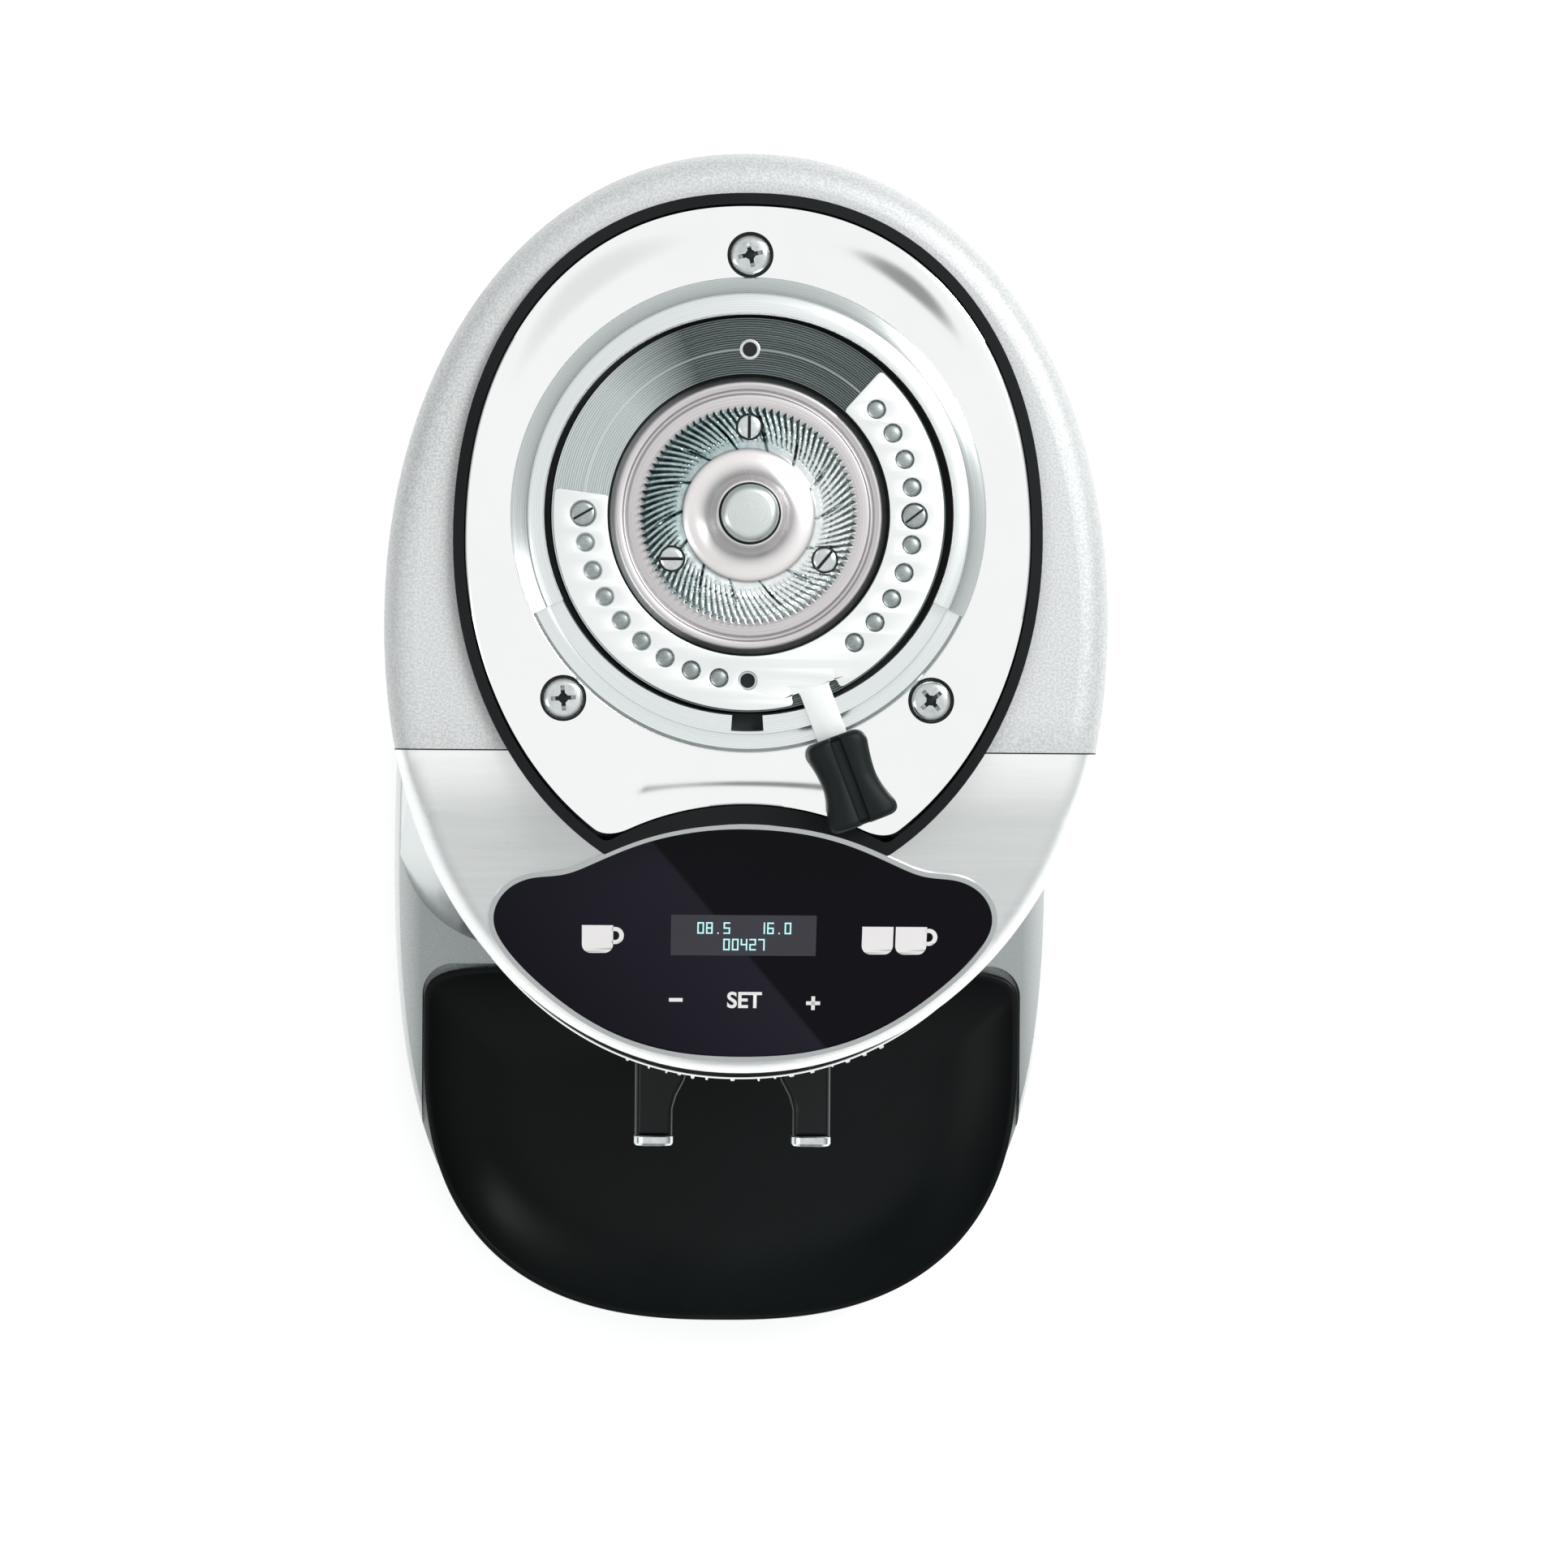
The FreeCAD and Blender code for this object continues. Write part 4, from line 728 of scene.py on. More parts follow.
# a closed turned mesh about the origin from (radius, height) points that end on the axis
def turnedMesh(profile, steps=48):
    verts = []
    for radius, height in profile:
        for step in range(steps):
            turn = 2 * math.pi * step / steps
            verts.append((radius * mm * math.cos(turn), radius * mm * math.sin(turn), height * mm))
    mesh = bpy.data.meshes.new("turned")
    mesh.from_pydata(verts, [], ringFaces(len(profile), steps))
    tidy = bmesh.new()
    tidy.from_mesh(mesh)
    bmesh.ops.remove_doubles(tidy, verts=tidy.verts, dist=1e-7)
    bmesh.ops.dissolve_degenerate(tidy, dist=1e-7, edges=tidy.edges)
    bmesh.ops.recalc_face_normals(tidy, faces=tidy.faces)
    tidy.to_mesh(mesh)
    tidy.free()
    return mesh


# a tapering bar for cutting driver slots
def wedge(length, width, depth, taper, top):
    verts = []
    for level, share in ((top + 2, 1.0), (top, 1.0), (top - depth, taper)):
        x, y = length * share * mm, width * (0.5 + 0.5 * share) * mm
        verts += [(-x, -y, level * mm), (x, -y, level * mm), (x, y, level * mm), (-x, y, level * mm)]
    faces = [(0, 1, 2, 3), (8, 9, 10, 11)] + ringFaces(3, 4)
    return verts, faces


def repeated(name, mesh, matrices, body, material, angle=35):
    whole = bmesh.new()
    for matrix in matrices:
        one = mesh.copy()
        one.transform(matrix)
        whole.from_mesh(one)
        bpy.data.meshes.remove(one)
    joined = bpy.data.meshes.new(name)
    whole.to_mesh(joined)
    whole.free()
    piece = bpy.data.objects.new(name, joined)
    bpy.context.scene.collection.objects.link(piece)
    finishPiece(piece, body, material, angle=angle)
    return piece


def screwHead(name, profile, cutters):
    mesh = turnedMesh(profile)
    piece = bpy.data.objects.new(name, mesh)
    bpy.context.scene.collection.objects.link(piece)
    for cutter in cutters:
        cutWith(piece, cutterFrom(*cutter))
    made = piece.data
    bpy.data.objects.remove(piece)
    return made


def turnedData(data, degrees):
    verts, faces = data
    turn = Matrix.Rotation(math.radians(degrees), 4, "Z")
    return [tuple(turn @ Vector(v)) for v in verts], faces


def onCircle(radius, angle, turn):
    x, y = polar(radius * mm, angle)
    return Matrix.Translation((x, y, 0)) @ Matrix.Rotation(math.radians(turn), 4, "Z")


# the shaded floor of driver slots: dark bars of painted shade
def darkBars(name, matrices, half, width, level, body):
    verts, faces = [], []
    for matrix in matrices:
        start = len(verts)
        for z in (level - 0.15, level):
            for x, y in ((-half, -width), (half, -width), (half, width), (-half, width)):
                verts.append(matrix @ Vector((x * mm, y * mm, z * mm)))
        faces += [(start + a, start + b, start + c, start + d) for a, b, c, d in
                  ((0, 1, 2, 3), (4, 5, 6, 7), (0, 1, 5, 4), (1, 2, 6, 5), (2, 3, 7, 6), (3, 0, 4, 7))]
    newPiece(name, verts, faces, body, paintedRecessShade, smooth=False)


def makeBurrScrews():
    top = burr["top"] + 0.2
    crown = [(0, top + 0.15), (2.2, top + 0.05), (3.4, top - 0.25), (3.5, top - 1.2), (3.5, top - 2.4)]
    head = rounded(crown, 0.3, 3)
    profile = head + [(2.2, top - 2.4), (2.2, top - 17), (0, top - 17)]
    mesh = screwHead("slotted", profile, [wedge(5, 0.48, 0.95, 1.0, top)])
    places = [onCircle(burr["screwCircle"], a, t) for a, t in burr["screws"]]
    piece = repeated("burrScrews", mesh, places, "rotor", screwSteel)
    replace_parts(piece, "burr_screws")
    darkBars("burrScrewSlotShade", places, 3.4, 0.44, top - 0.35, "rotor")
    rings = [(3.52, top - 0.75), (3.52, top - 0.6), (3.9, top - 0.6), (3.9, top - 0.75)]
    for number, (angle, _) in enumerate(burr["screws"]):
        lathe("burrScrewShade_" + str(number), millimetres(rings), "rotor", paintedRecessShade, 48,
              centre=polar(burr["screwCircle"] * mm, angle))


hub = {"foot": 381.5, "flange": 19.3, "neck": 9.9, "top": 395.0, "button": 8.35, "lip": 8.95,
       "buttonTop": 402.0}


def makeHub():
    h = hub
    flare = [(h["flange"] - 3, h["foot"]), (h["flange"] - 0.3, h["foot"]), (h["flange"], h["foot"] + 0.5),
             (h["flange"], h["foot"] + 1.1), (h["flange"] - 0.7, h["foot"] + 1.7)]
    for step in range(1, 15):  # trumpet curve from the flange up to the neck
        share = step / 14
        radius = h["neck"] + (h["flange"] - 0.7 - h["neck"]) * (1 - share) ** 2.5
        flare.append((radius, h["foot"] + 1.7 + (h["top"] - 0.6 - h["foot"] - 1.7) * share ** 1.8))
    flare += [(h["neck"] - 0.1, h["top"] + 0.4), (h["neck"] - 0.4, h["top"] + 0.65),
              (h["lip"] + 0.1, h["top"] + 0.6), (h["lip"], h["top"] + 0.4), (h["lip"], h["top"] - 1.2),
              (4.2, h["top"] - 1.2), (4.2, 372.0), (14.0, 372.0), (14.0, 378.0),
              (h["flange"] - 3, 378.0)]
    cone = lathe("hubCone", millimetres(flare), "rotor", coneAlloy, 160, angle=40)
    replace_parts(cone, "hub_cone")
    crown = [(0, h["buttonTop"]), (h["button"] - 1.6, h["buttonTop"] - 0.25),
             (h["button"], h["buttonTop"] - 1.4), (h["button"], h["top"] - 1.1)]
    profile = rounded(crown, 1.2, 6) + [(4.0, h["top"] - 1.1), (4.0, 358.0), (0, 358.0)]
    mesh = turnedMesh(profile, 96)
    middle = Matrix.Translation((axisX, axisY, 0))
    bolt = repeated("hubButton", mesh, [middle], "rotor", hubSteel)
    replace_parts(bolt, "hub_bolt")
    # painted shade: a dark ring in the gap between the button and the cone's lip
    gap = [(h["button"] - 0.3, h["top"] - 0.6), (h["button"] - 0.3, h["top"] - 0.2),
           (h["lip"] + 0.1, h["top"] - 0.2),
           (h["lip"] + 0.1, h["top"] - 0.6)]
    lathe("hubGapShade", millimetres(gap), "rotor", paintedRecessShade, 96)


makeCarrier()
makeBurr()
makeBurrScrews()
makeHub()
print("rotor pieces made")

# collar, top plate and its screws

collar = {"bore": 59.6, "tight": 58.2, "flat": 64.3, "outer": 69.5, "low": 376.0, "high": 387.0,
          "front": 381.8, "from": -155.0, "to": -25.0, "notch": 4.5, "notchBore": 62.8}


def collarSection(angle, cut):
    c = collar
    slack = abs(math.cos(math.radians(angle))) * c["bore"]
    bore = c["tight"] + (c["bore"] - c["tight"]) * abs(math.cos(math.radians(angle))) ** 1.4
    if cut and slack < c["notch"] and math.sin(math.radians(angle)) < 0:
        bore = c["notchBore"]
    if cut:
        top = c["front"]
        points = [(bore, top - 0.35), (bore + 0.35, top), (63.9, top), (64.3, top - 0.25), (66.0, top - 0.35),
                  (68.2, top - 0.3), (68.9, top - 0.9), (c["outer"], top - 1.6)]
    else:
        top = c["high"]
        points = [(bore, top - 0.5), (bore + 0.5, top), (63.7, top), (c["flat"] + 0.1, top - 0.4),
                  (64.9, top - 3.4), (66.2, top - 4.3), (c["outer"] - 0.5, top - 5.7),
                  (c["outer"], top - 6.6)]
    return [(bore, c["low"])] + points + [(c["outer"], c["low"])]


def makeCollar():
    c = collar
    edge = math.degrees(math.asin(c["notch"] / c["bore"]))
    stations = []
    for step in range(240):
        angle = -180 + 1.5 * step
        stations.append((angle, c["from"] < angle < c["to"]))
    for angle in (c["from"], c["to"]):
        stations += [(angle - 1e-4, angle == c["to"]), (angle + 1e-4, angle == c["from"])]
    for angle in (-90 - edge, -90 + edge):
        stations += [(angle - 0.02, True), (angle + 0.02, True)]
    stations.sort()
    verts = []
    for angle, cut in stations:
        for radius, height in collarSection(angle, cut):
            x, y = polar(radius * mm, angle)
            verts.append((x, y, height * mm))
    count = len(collarSection(0, False))
    faces = []
    total = len(stations)
    for i in range(total):
        j = (i + 1) % total
        faces += [(i * count + k, j * count + k, j * count + (k + 1) % count, i * count + (k + 1) % count)
                  for k in range(count)]
    piece = newPiece("hopperCollar", verts, faces, "housing", brightCollar, angle=30)
    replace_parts(piece, "hopper_collar")


brightCollar = turnedMaterial("brightCollar", (0.80, 0.845, 0.84), (0.73, 0.775, 0.77), 1400.0,
                              rough=(0.20, 0.28), height=0.000002, strength=0.12)

plate = {"inner": 69.2, "halfWidth": 83.0, "rear": 91.0, "front": 109.0, "widest": -8.0, "rearPower": 2.2,
         "frontPower": 2.0, "biteRadius": 81.7, "biteCentre": -166.5, "hornSpan": 5, "top": 380.0,
         "low": 376.0, "level": 0.6, "steep": 9.0, "flatTo": 0.2, "edge": 1.1, "screwCircle": 76.0,
         "screwAngles": (90, 225, 315), "screwTurns": (12, 4, 40), "seat": 6.75, "head": 6.0}


def insidePlate(x, y):
    p = plate
    rear = y >= p["widest"]
    reach = p["rear"] - p["widest"] if rear else p["widest"] + p["front"]
    power = p["rearPower"] if rear else p["frontPower"]
    egg = abs(x / p["halfWidth"]) ** power + abs((y - p["widest"]) / reach) ** power
    return egg < 1 and math.hypot(x, y - p["biteCentre"]) > p["biteRadius"]


# distance from the burr axis to the plate's outline along a ray
def plateReach(turn):
    low, high = 60.0, 140.0
    for _ in range(40):
        middle = (low + high) / 2
        if insidePlate(middle * math.cos(turn), middle * math.sin(turn)):
            low = middle
        else:
            high = middle
    return low


def makeTopPlate():
    p = plate
    steps, rows = 720, 30
    sharp = [plateReach(2 * math.pi * i / steps) for i in range(steps)]
    span = range(-p["hornSpan"], p["hornSpan"] + 1)
    reaches = [sum(sharp[(i + k) % steps] for k in span) / len(span) for i in range(steps)]
    columns = []
    for reach in reaches:
        width = reach - p["inner"]
        points = [(p["inner"], p["low"]), (p["inner"], p["top"] - 0.2)]
        for row in range(rows + 1):
            share = row / rows
            radius = p["inner"] + 0.3 + (width - 0.3) * share
            past = max(0.0, share - p["flatTo"])
            rise = p["level"] - math.radians(p["steep"]) * width * past ** 2 / (2 * (1 - p["flatTo"]))
            left = reach - radius
            drop = 0
            if left < p["edge"]:
                drop = p["edge"] - math.sqrt(max(0.0, p["edge"] ** 2 - (p["edge"] - left) ** 2))
            points.append((radius, p["top"] + rise - drop))
        points.append((reach, p["low"]))
        columns.append(points)
    count = len(columns[0])
    verts = []
    for i, points in enumerate(columns):
        turn = 2 * math.pi * i / steps
        for radius, height in points:
            reach = radius * mm
            verts.append((axisX + reach * math.cos(turn), axisY + reach * math.sin(turn), height * mm))
    faces = []
    for i in range(steps):
        j = (i + 1) % steps
        faces += [(i * count + k, j * count + k, j * count + (k + 1) % count, i * count + (k + 1) % count)
                  for k in range(count)]
    piece = newPiece("topPlate", verts, faces, "housing", polishedPlate, angle=40)
    for angle in p["screwAngles"]:
        x, y = polar(p["screwCircle"] * mm, angle)
        cutWith(piece, cutterFrom(*prismData(circle(x, y, p["seat"] * mm, 64),
                                             (p["top"] - 1.5) * mm, (p["top"] + 5) * mm)))
    finishPiece(piece, "housing", polishedPlate, angle=40)
    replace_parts(piece, "top_plate")


def makePlateScrews():
    p = plate
    seat = p["top"] - 1.5
    head = [(0, seat + 3.0), (2.8, seat + 2.95), (4.6, seat + 2.75), (5.5, seat + 2.3),
            (p["head"], seat + 1.4), (p["head"], seat)]
    profile = rounded(head, 0.4, 3) + [(3.0, seat), (3.0, seat - 8), (0, seat - 8)]
    bar = wedge(3.7, 0.62, 1.7, 0.5, seat + 2.9)
    middle = turnedData(wedge(1.45, 1.45, 1.6, 0.6, seat + 2.9), 45)
    mesh = screwHead("crossHead", profile, [bar, turnedData(bar, 90), middle])
    placed = [onCircle(p["screwCircle"], a, t) for a, t in zip(p["screwAngles"], p["screwTurns"])]
    piece = repeated("plateScrews", mesh, placed, "housing", screwSteel, angle=32)
    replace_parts(piece, "plate_screws")
    # painted shade: dark discs in the cross recesses of the plate screws
    pits = []
    for angle, turn in zip(p["screwAngles"], p["screwTurns"]):
        pits.append(onCircle(p["screwCircle"], angle, turn) @ Matrix.Translation((0, 0, (seat + 1.1) * mm)))
    disc = turnedMesh([(0, 0.75), (1.2, 0.7), (2.9, 0.25), (2.9, 0.0), (0, 0.0)], 24)
    repeated("crossHeadRecessShade", disc, pits, "housing", paintedRecessShade)
    rings = [(p["head"] + 0.02, seat + 0.3), (p["head"] + 0.02, seat + 0.9), (p["seat"] + 0.02, seat + 0.9),
             (p["seat"] + 0.02, seat + 0.3)]
    for number, angle in enumerate(p["screwAngles"]):
        lathe("plateScrewShade_" + str(number), millimetres(rings), "housing", paintedRecessShade, 64,
              centre=polar(p["screwCircle"] * mm, angle))


makeCollar()
makeTopPlate()
makePlateScrews()
print("top plate and collar made")

# setting arm, its screws and knob

index = {"outer": 57.0, "inner": 41.2, "circle": 48.3, "from": 172.5, "to": 408.0, "low": 382.3,
         "high": 384.3, "hole": 2.75, "screw": 3.5, "arm": -69.0, "armHalf": 4.5, "armEnd": 90.0,
         "slit": 7.1, "slitDepth": 3.5,
         "holes": [40, 30, 20, 10] + list(range(-10, -51, -10)) + list(range(-90, -171, -10))}


def arcPoints(radius, start, end, step=1.5):
    count = max(2, int(abs(end - start) / step) + 1)
    return [polar(radius * mm, start + (end - start) * i / (count - 1)) for i in range(count)]


def alongArm(u, v):
    turn = math.radians(index["arm"])
    return (axisX + (u * math.cos(turn) - v * math.sin(turn)) * mm,
            axisY + (u * math.sin(turn) + v * math.cos(turn)) * mm)


# rounds only the listed corners of a closed loop
def roundedLoop(loop, sharp, radius, steps=5):
    out = []
    count = len(loop)
    for i, here in enumerate(loop):
        if i not in sharp:
            out.append(here)
            continue
        a, b, c = Vector(loop[i - 1]), Vector(here), Vector(loop[(i + 1) % count])
        cutA = min(radius * mm, (a - b).length * 0.9)
        cutC = min(radius * mm, (c - b).length * 0.9)
        start, end = b + (a - b).normalized() * cutA, b + (c - b).normalized() * cutC
        for step in range(steps + 1):
            t = step / steps
            out.append(tuple(start * (1 - t) ** 2 + b * 2 * t * (1 - t) + end * t ** 2))
    return out


def makeIndexPlate():
    d = index
    lean = math.degrees(math.asin(d["slit"] / d["outer"]))
    armTurn = d["arm"] + 360
    first = arcPoints(d["outer"], d["from"], armTurn - lean)
    armRoot = d["outer"] - d["slitDepth"]
    arm = [alongArm(armRoot, -d["slit"]), alongArm(armRoot, -d["armHalf"]),
           alongArm(d["armEnd"], -d["armHalf"]), alongArm(d["armEnd"], d["armHalf"]),
           alongArm(armRoot, d["armHalf"]), alongArm(armRoot, d["slit"])]
    second = arcPoints(d["outer"], armTurn + lean, d["to"])
    inner = arcPoints(d["inner"], d["to"], d["from"])
    loop = first + arm + second + inner
    n1, n2, n3 = len(first), len(first) + len(arm), len(first) + len(arm) + len(second)
    corners = {0, n1 - 1, n1, n1 + 1, n1 + 4, n1 + 5, n2, n3 - 1, n3, len(loop) - 1}
    big = roundedLoop(loop, corners, 1.6)
    loops = [big] + [circle(*polar(d["circle"] * mm, angle), d["hole"] * mm) for angle in d["holes"]]
    loops += [circle(*polar(d["circle"] * mm, angle), (d["screw"] + 0.35) * mm, 48) for angle in (0, 180)]
    piece = flatOutline("indexPlate", loops, d["low"] * mm, d["high"] * mm, 0.22 * mm, "adjuster",
                        indexSteel)
    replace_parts(piece, "index_plate")


def makeIndexScrews():
    top = index["high"] + 0.05
    head = [(0, top + 0.1), (2.6, top + 0.05), (3.3, top - 0.15), (3.5, top - 0.5), (3.5, top - 1.7)]
    profile = rounded(head, 0.2, 3) + [(2.1, top - 1.7), (2.1, top - 12), (0, top - 12)]
    mesh = screwHead("flatSlotted", profile, [wedge(5, 0.42, 0.7, 1.0, top)])
    places = [onCircle(index["circle"], 0, 38), onCircle(index["circle"], 180, 30)]
    piece = repeated("indexScrews", mesh, places, "adjuster", holeSteel)
    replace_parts(piece, "index_screws")
    darkBars("indexScrewSlotShade", places, 3.2, 0.3, top - 0.35, "adjuster")
    floors = []
    for angle in index["holes"]:
        if angle != -90:
            floors.append(onCircle(index["circle"], angle, angle * 3 + 40))
    floor = turnedMesh([(0, index["low"] + 0.55), (2.1, index["low"] + 0.55), (2.45, index["low"] + 0.35),
                        (2.45, index["low"]), (0, index["low"])], 32)
    repeated("indexHoleFloors", floor, floors, "adjuster", holeSteel)
    # painted shade: dark discs in the two open threaded holes
    pit = turnedMesh([(0, 382.34), (2.0, 382.34), (2.0, 382.0), (0, 382.0)], 32)
    repeated("threadedHoleShade", pit, [onCircle(index["circle"], angle, 0) for angle in (90, 270)], "adjuster",
             paintedRecessShade)
    ring = [(2.15, 382.2), (2.15, 382.32), (2.75, 382.36), (2.95, 382.31), (2.95, 382.2)]
    for angle in (90, 270):
        x, y = polar(index["circle"] * mm, angle)
        lathe("threadChamfer_" + str(angle), millimetres(ring), "adjuster", screwSteel, 48,
              centre=(x, y))


knob = {"centre": 82.6, "half": 13.5, "inner": 10.0, "waist": 7.9, "outer": 12.25, "low": 382.0,
        "high": 396.0, "groove": 1.35, "grooveDepth": 6.0, "corner": 4.6}


def knobHalfWidth(u):
    k = knob
    share = u / k["half"]
    side = k["inner"] if share < 0 else k["outer"]
    wide = k["waist"] + (side - k["waist"]) * abs(share) ** 1.7
    left = k["half"] - abs(u)
    if left < k["corner"]:
        wide -= k["corner"] - math.sqrt(max(0.0, k["corner"] ** 2 - (k["corner"] - left) ** 2))
    return wide


def makeKnob():
    k = knob
    stations = []
    for step in range(57):  # closer together towards the rounded ends
        stations.append(-k["half"] * math.cos(math.pi * step / 56))
    verts = []
    for u in stations:
        wide = knobHalfWidth(u)
        left = k["half"] - abs(u)
        sink = 1.8 - math.sqrt(max(0.0, 1.8 ** 2 - (1.8 - left) ** 2)) if left < 1.8 else 0.0
        top = k["high"] - sink - 0.5 * (1 - abs(u) / k["half"])
        groove = k["groove"]
        half = [(0.0, top - k["grooveDepth"]), (groove, top - k["grooveDepth"]), (groove, top - 0.9),
                (groove + 0.2, top - 0.35), (groove + 0.8, top), (wide * 0.55, top),
                (wide - 2.6, top - 0.35), (wide - 1.2, top - 1.0), (wide - 0.35, top - 2.2),
                (wide, top - 4.0), (wide, k["low"] + 2.0),
                (wide - 0.3, k["low"] + 0.8), (wide - 1.0, k["low"])]
        section = half + [(-v, z) for v, z in reversed(half[1:])]
        for v, z in section:
            x, y = alongArm(k["centre"] + u, v)
            verts.append((x, y, z * mm))
    count = len(section)
    faces = [tuple(range(count)), tuple(range((len(stations) - 1) * count, len(stations) * count))]
    faces += ringFaces(len(stations), count)
    piece = newPiece("settingKnob", verts, faces, "adjuster", knobRubber, angle=50)
    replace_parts(piece, "adjust_knob")


# black depth of the knob's groove: painted shade as a dark block inside it
def makeKnobShade():
    k = knob
    u0, u1 = -k["half"] + 1.6, k["half"] - 1.6
    loop = [alongArm(u, v) for u, v in ((k["centre"] + u0, -k["groove"]), (k["centre"] + u1, -k["groove"]),
                                        (k["centre"] + u1, k["groove"]), (k["centre"] + u0, k["groove"]))]
    verts, faces = prismData(loop, (k["high"] - k["grooveDepth"] - 0.5) * mm, (k["high"] - 2.2) * mm)
    newPiece("knobGrooveShade", verts, faces, "adjuster", paintedRecessShade, smooth=False)


makeIndexPlate()
makeIndexScrews()
makeKnob()
makeKnobShade()
print("setting arm made")

# touch glass: icons, display, marks

slope = {"angle": 33.0, "lift": 0.05}


# a plan position in millimetres about the burr axis, laid on the sloping glass
def onSlope(x, y, lift):
    tilt = math.radians(slope["angle"])
    height = glassHigh.z - (glassHigh.y - (axisY + y * mm)) * math.tan(tilt)
    normal = Vector((0, -math.sin(tilt), math.cos(tilt)))
    return Vector((axisX + x * mm, axisY + y * mm, height)) + normal * lift * mm


# flat artwork from plan outlines, a printed layer just proud of the glass
def layOnGlass(name, loops, material, lift=None, thick=0.12):
    lift = slope["lift"] if lift is None else lift
    piece = flatOutline(name, loops, 0.0, 1.0, 0.0, "housing", material, 0)
    for vertex in piece.data.vertices:
        x, y, level = vertex.co
        vertex.co = onSlope(x, y, lift - thick if level < 0.5 else lift)
    return piece


def bar(x0, x1, y0, y1):
    return [(x0, y0), (x1, y0), (x1, y1), (x0, y1)]


cup = {"left": -47.9, "right": -38.6, "top": -121.0, "bottom": -129.4, "round": 2.6, "ear": 2.6,
       "earHole": 1.25}


def cupLoops(shift):
    c = cup
    left, right = c["left"] + shift, c["right"] + shift
    body = [(left, c["top"]), (left, c["top"] - 4.6)]
    for step in range(7):
        turn = math.radians(180 + 15 * step)
        body.append((left + c["round"] * (1 + math.cos(turn)),
                     c["bottom"] + c["round"] * (1 + math.sin(turn))))
    for step in range(7):
        turn = math.radians(270 + 15 * step)
        body.append((right - c["round"] * (1 - math.cos(turn)),
                     c["bottom"] + c["round"] * (1 + math.sin(turn))))
    body += [(right, c["top"])]
    middle = (right + 0.6, c["top"] - 3.1)
    ear = [(middle[0] + c["ear"] * math.cos(math.radians(a)),
            middle[1] + c["ear"] * math.sin(math.radians(a))) for a in range(-95, 96, 15)]
    hole = [(middle[0] + c["earHole"] * math.cos(math.radians(a)),
             middle[1] + 1.1 * c["earHole"] * math.sin(math.radians(a))) for a in range(-90, 91, 15)]
    handle = ear + [(right - 0.4, c["top"] - 0.5), (right - 0.4, middle[1] + 1.4)] + list(reversed(hole))
    handle += [(right - 0.4, middle[1] - 1.4), (right - 0.4, c["bottom"] + 3.0)]
    return body, handle


def makeIcons():
    body, handle = cupLoops(0)
    layOnGlass("cupIcon", [body], iconWhite)
    layOnGlass("cupIconHandle", [handle], iconWhite)
    for number, shift in enumerate((83.5, 93.5)):
        body, handle = cupLoops(shift)
        layOnGlass("twinCupIcon_" + str(number), [body], iconWhite)
    layOnGlass("twinCupIconHandle", [handle], iconWhite)
    layOnGlass("minusMark", [bar(-21.7, -17.6, -144.25, -143.15)], iconWhite)
    layOnGlass("plusMarkFlat", [bar(19.5, 23.7, -145.05, -143.95)], iconWhite)
    layOnGlass("plusMarkUpright", [bar(21.05, 22.15, -146.6, -142.4)], iconWhite)
    letters = bpy.data.curves.new("setMark", "FONT")
    letters.body = "SET"
    letters.size = 1.0
    letters.align_x = "CENTER"
    letters.align_y = "CENTER"
    letters.offset = 0.026
    holder = bpy.data.objects.new("setMarkText", letters)
    bpy.context.scene.collection.objects.link(holder)
    bpy.context.view_layer.update()
    mesh = bpy.data.meshes.new_from_object(holder.evaluated_get(bpy.context.evaluated_depsgraph_get()))
    bpy.data.objects.remove(holder)
    wide = max(v.co.x for v in mesh.vertices) - min(v.co.x for v in mesh.vertices)
    tall = max(v.co.y for v in mesh.vertices) - min(v.co.y for v in mesh.vertices)
    for vertex in mesh.vertices:
        x, y = 0.9 + vertex.co.x * 10.4 / wide, -143.9 + vertex.co.y * 5.1 / tall
        vertex.co = onSlope(x, y, slope["lift"])
    piece = bpy.data.objects.new("setMark", mesh)
    bpy.context.scene.collection.objects.link(piece)
    finishPiece(piece, "housing", iconWhite, smooth=False)


display = {"left": -21.4, "right": 21.9, "top": -117.7, "bottom": -130.0, "dot": 0.21, "digitWide": 1.55,
           "digitTall": 3.1, "pitch": 2.6, "rows": ((-121.6, "08.5   16.0"), (-126.6, "00427"))}
segmentsOf = {"0": "abcdef", "1": "bc", "2": "abged", "3": "abgcd", "4": "fgbc", "5": "afgcd", "6": "afgedc",
              "7": "abc", "8": "abcdefg", "9": "abcfgd"}
segmentLine = {"a": ((0, 1), (1, 1)), "b": ((1, 1), (1, 0.5)), "c": ((1, 0.5), (1, 0)), "d": ((0, 0), (1, 0)),
               "e": ((0, 0.5), (0, 0)), "f": ((0, 1), (0, 0.5)), "g": ((0, 0.5), (1, 0.5))}


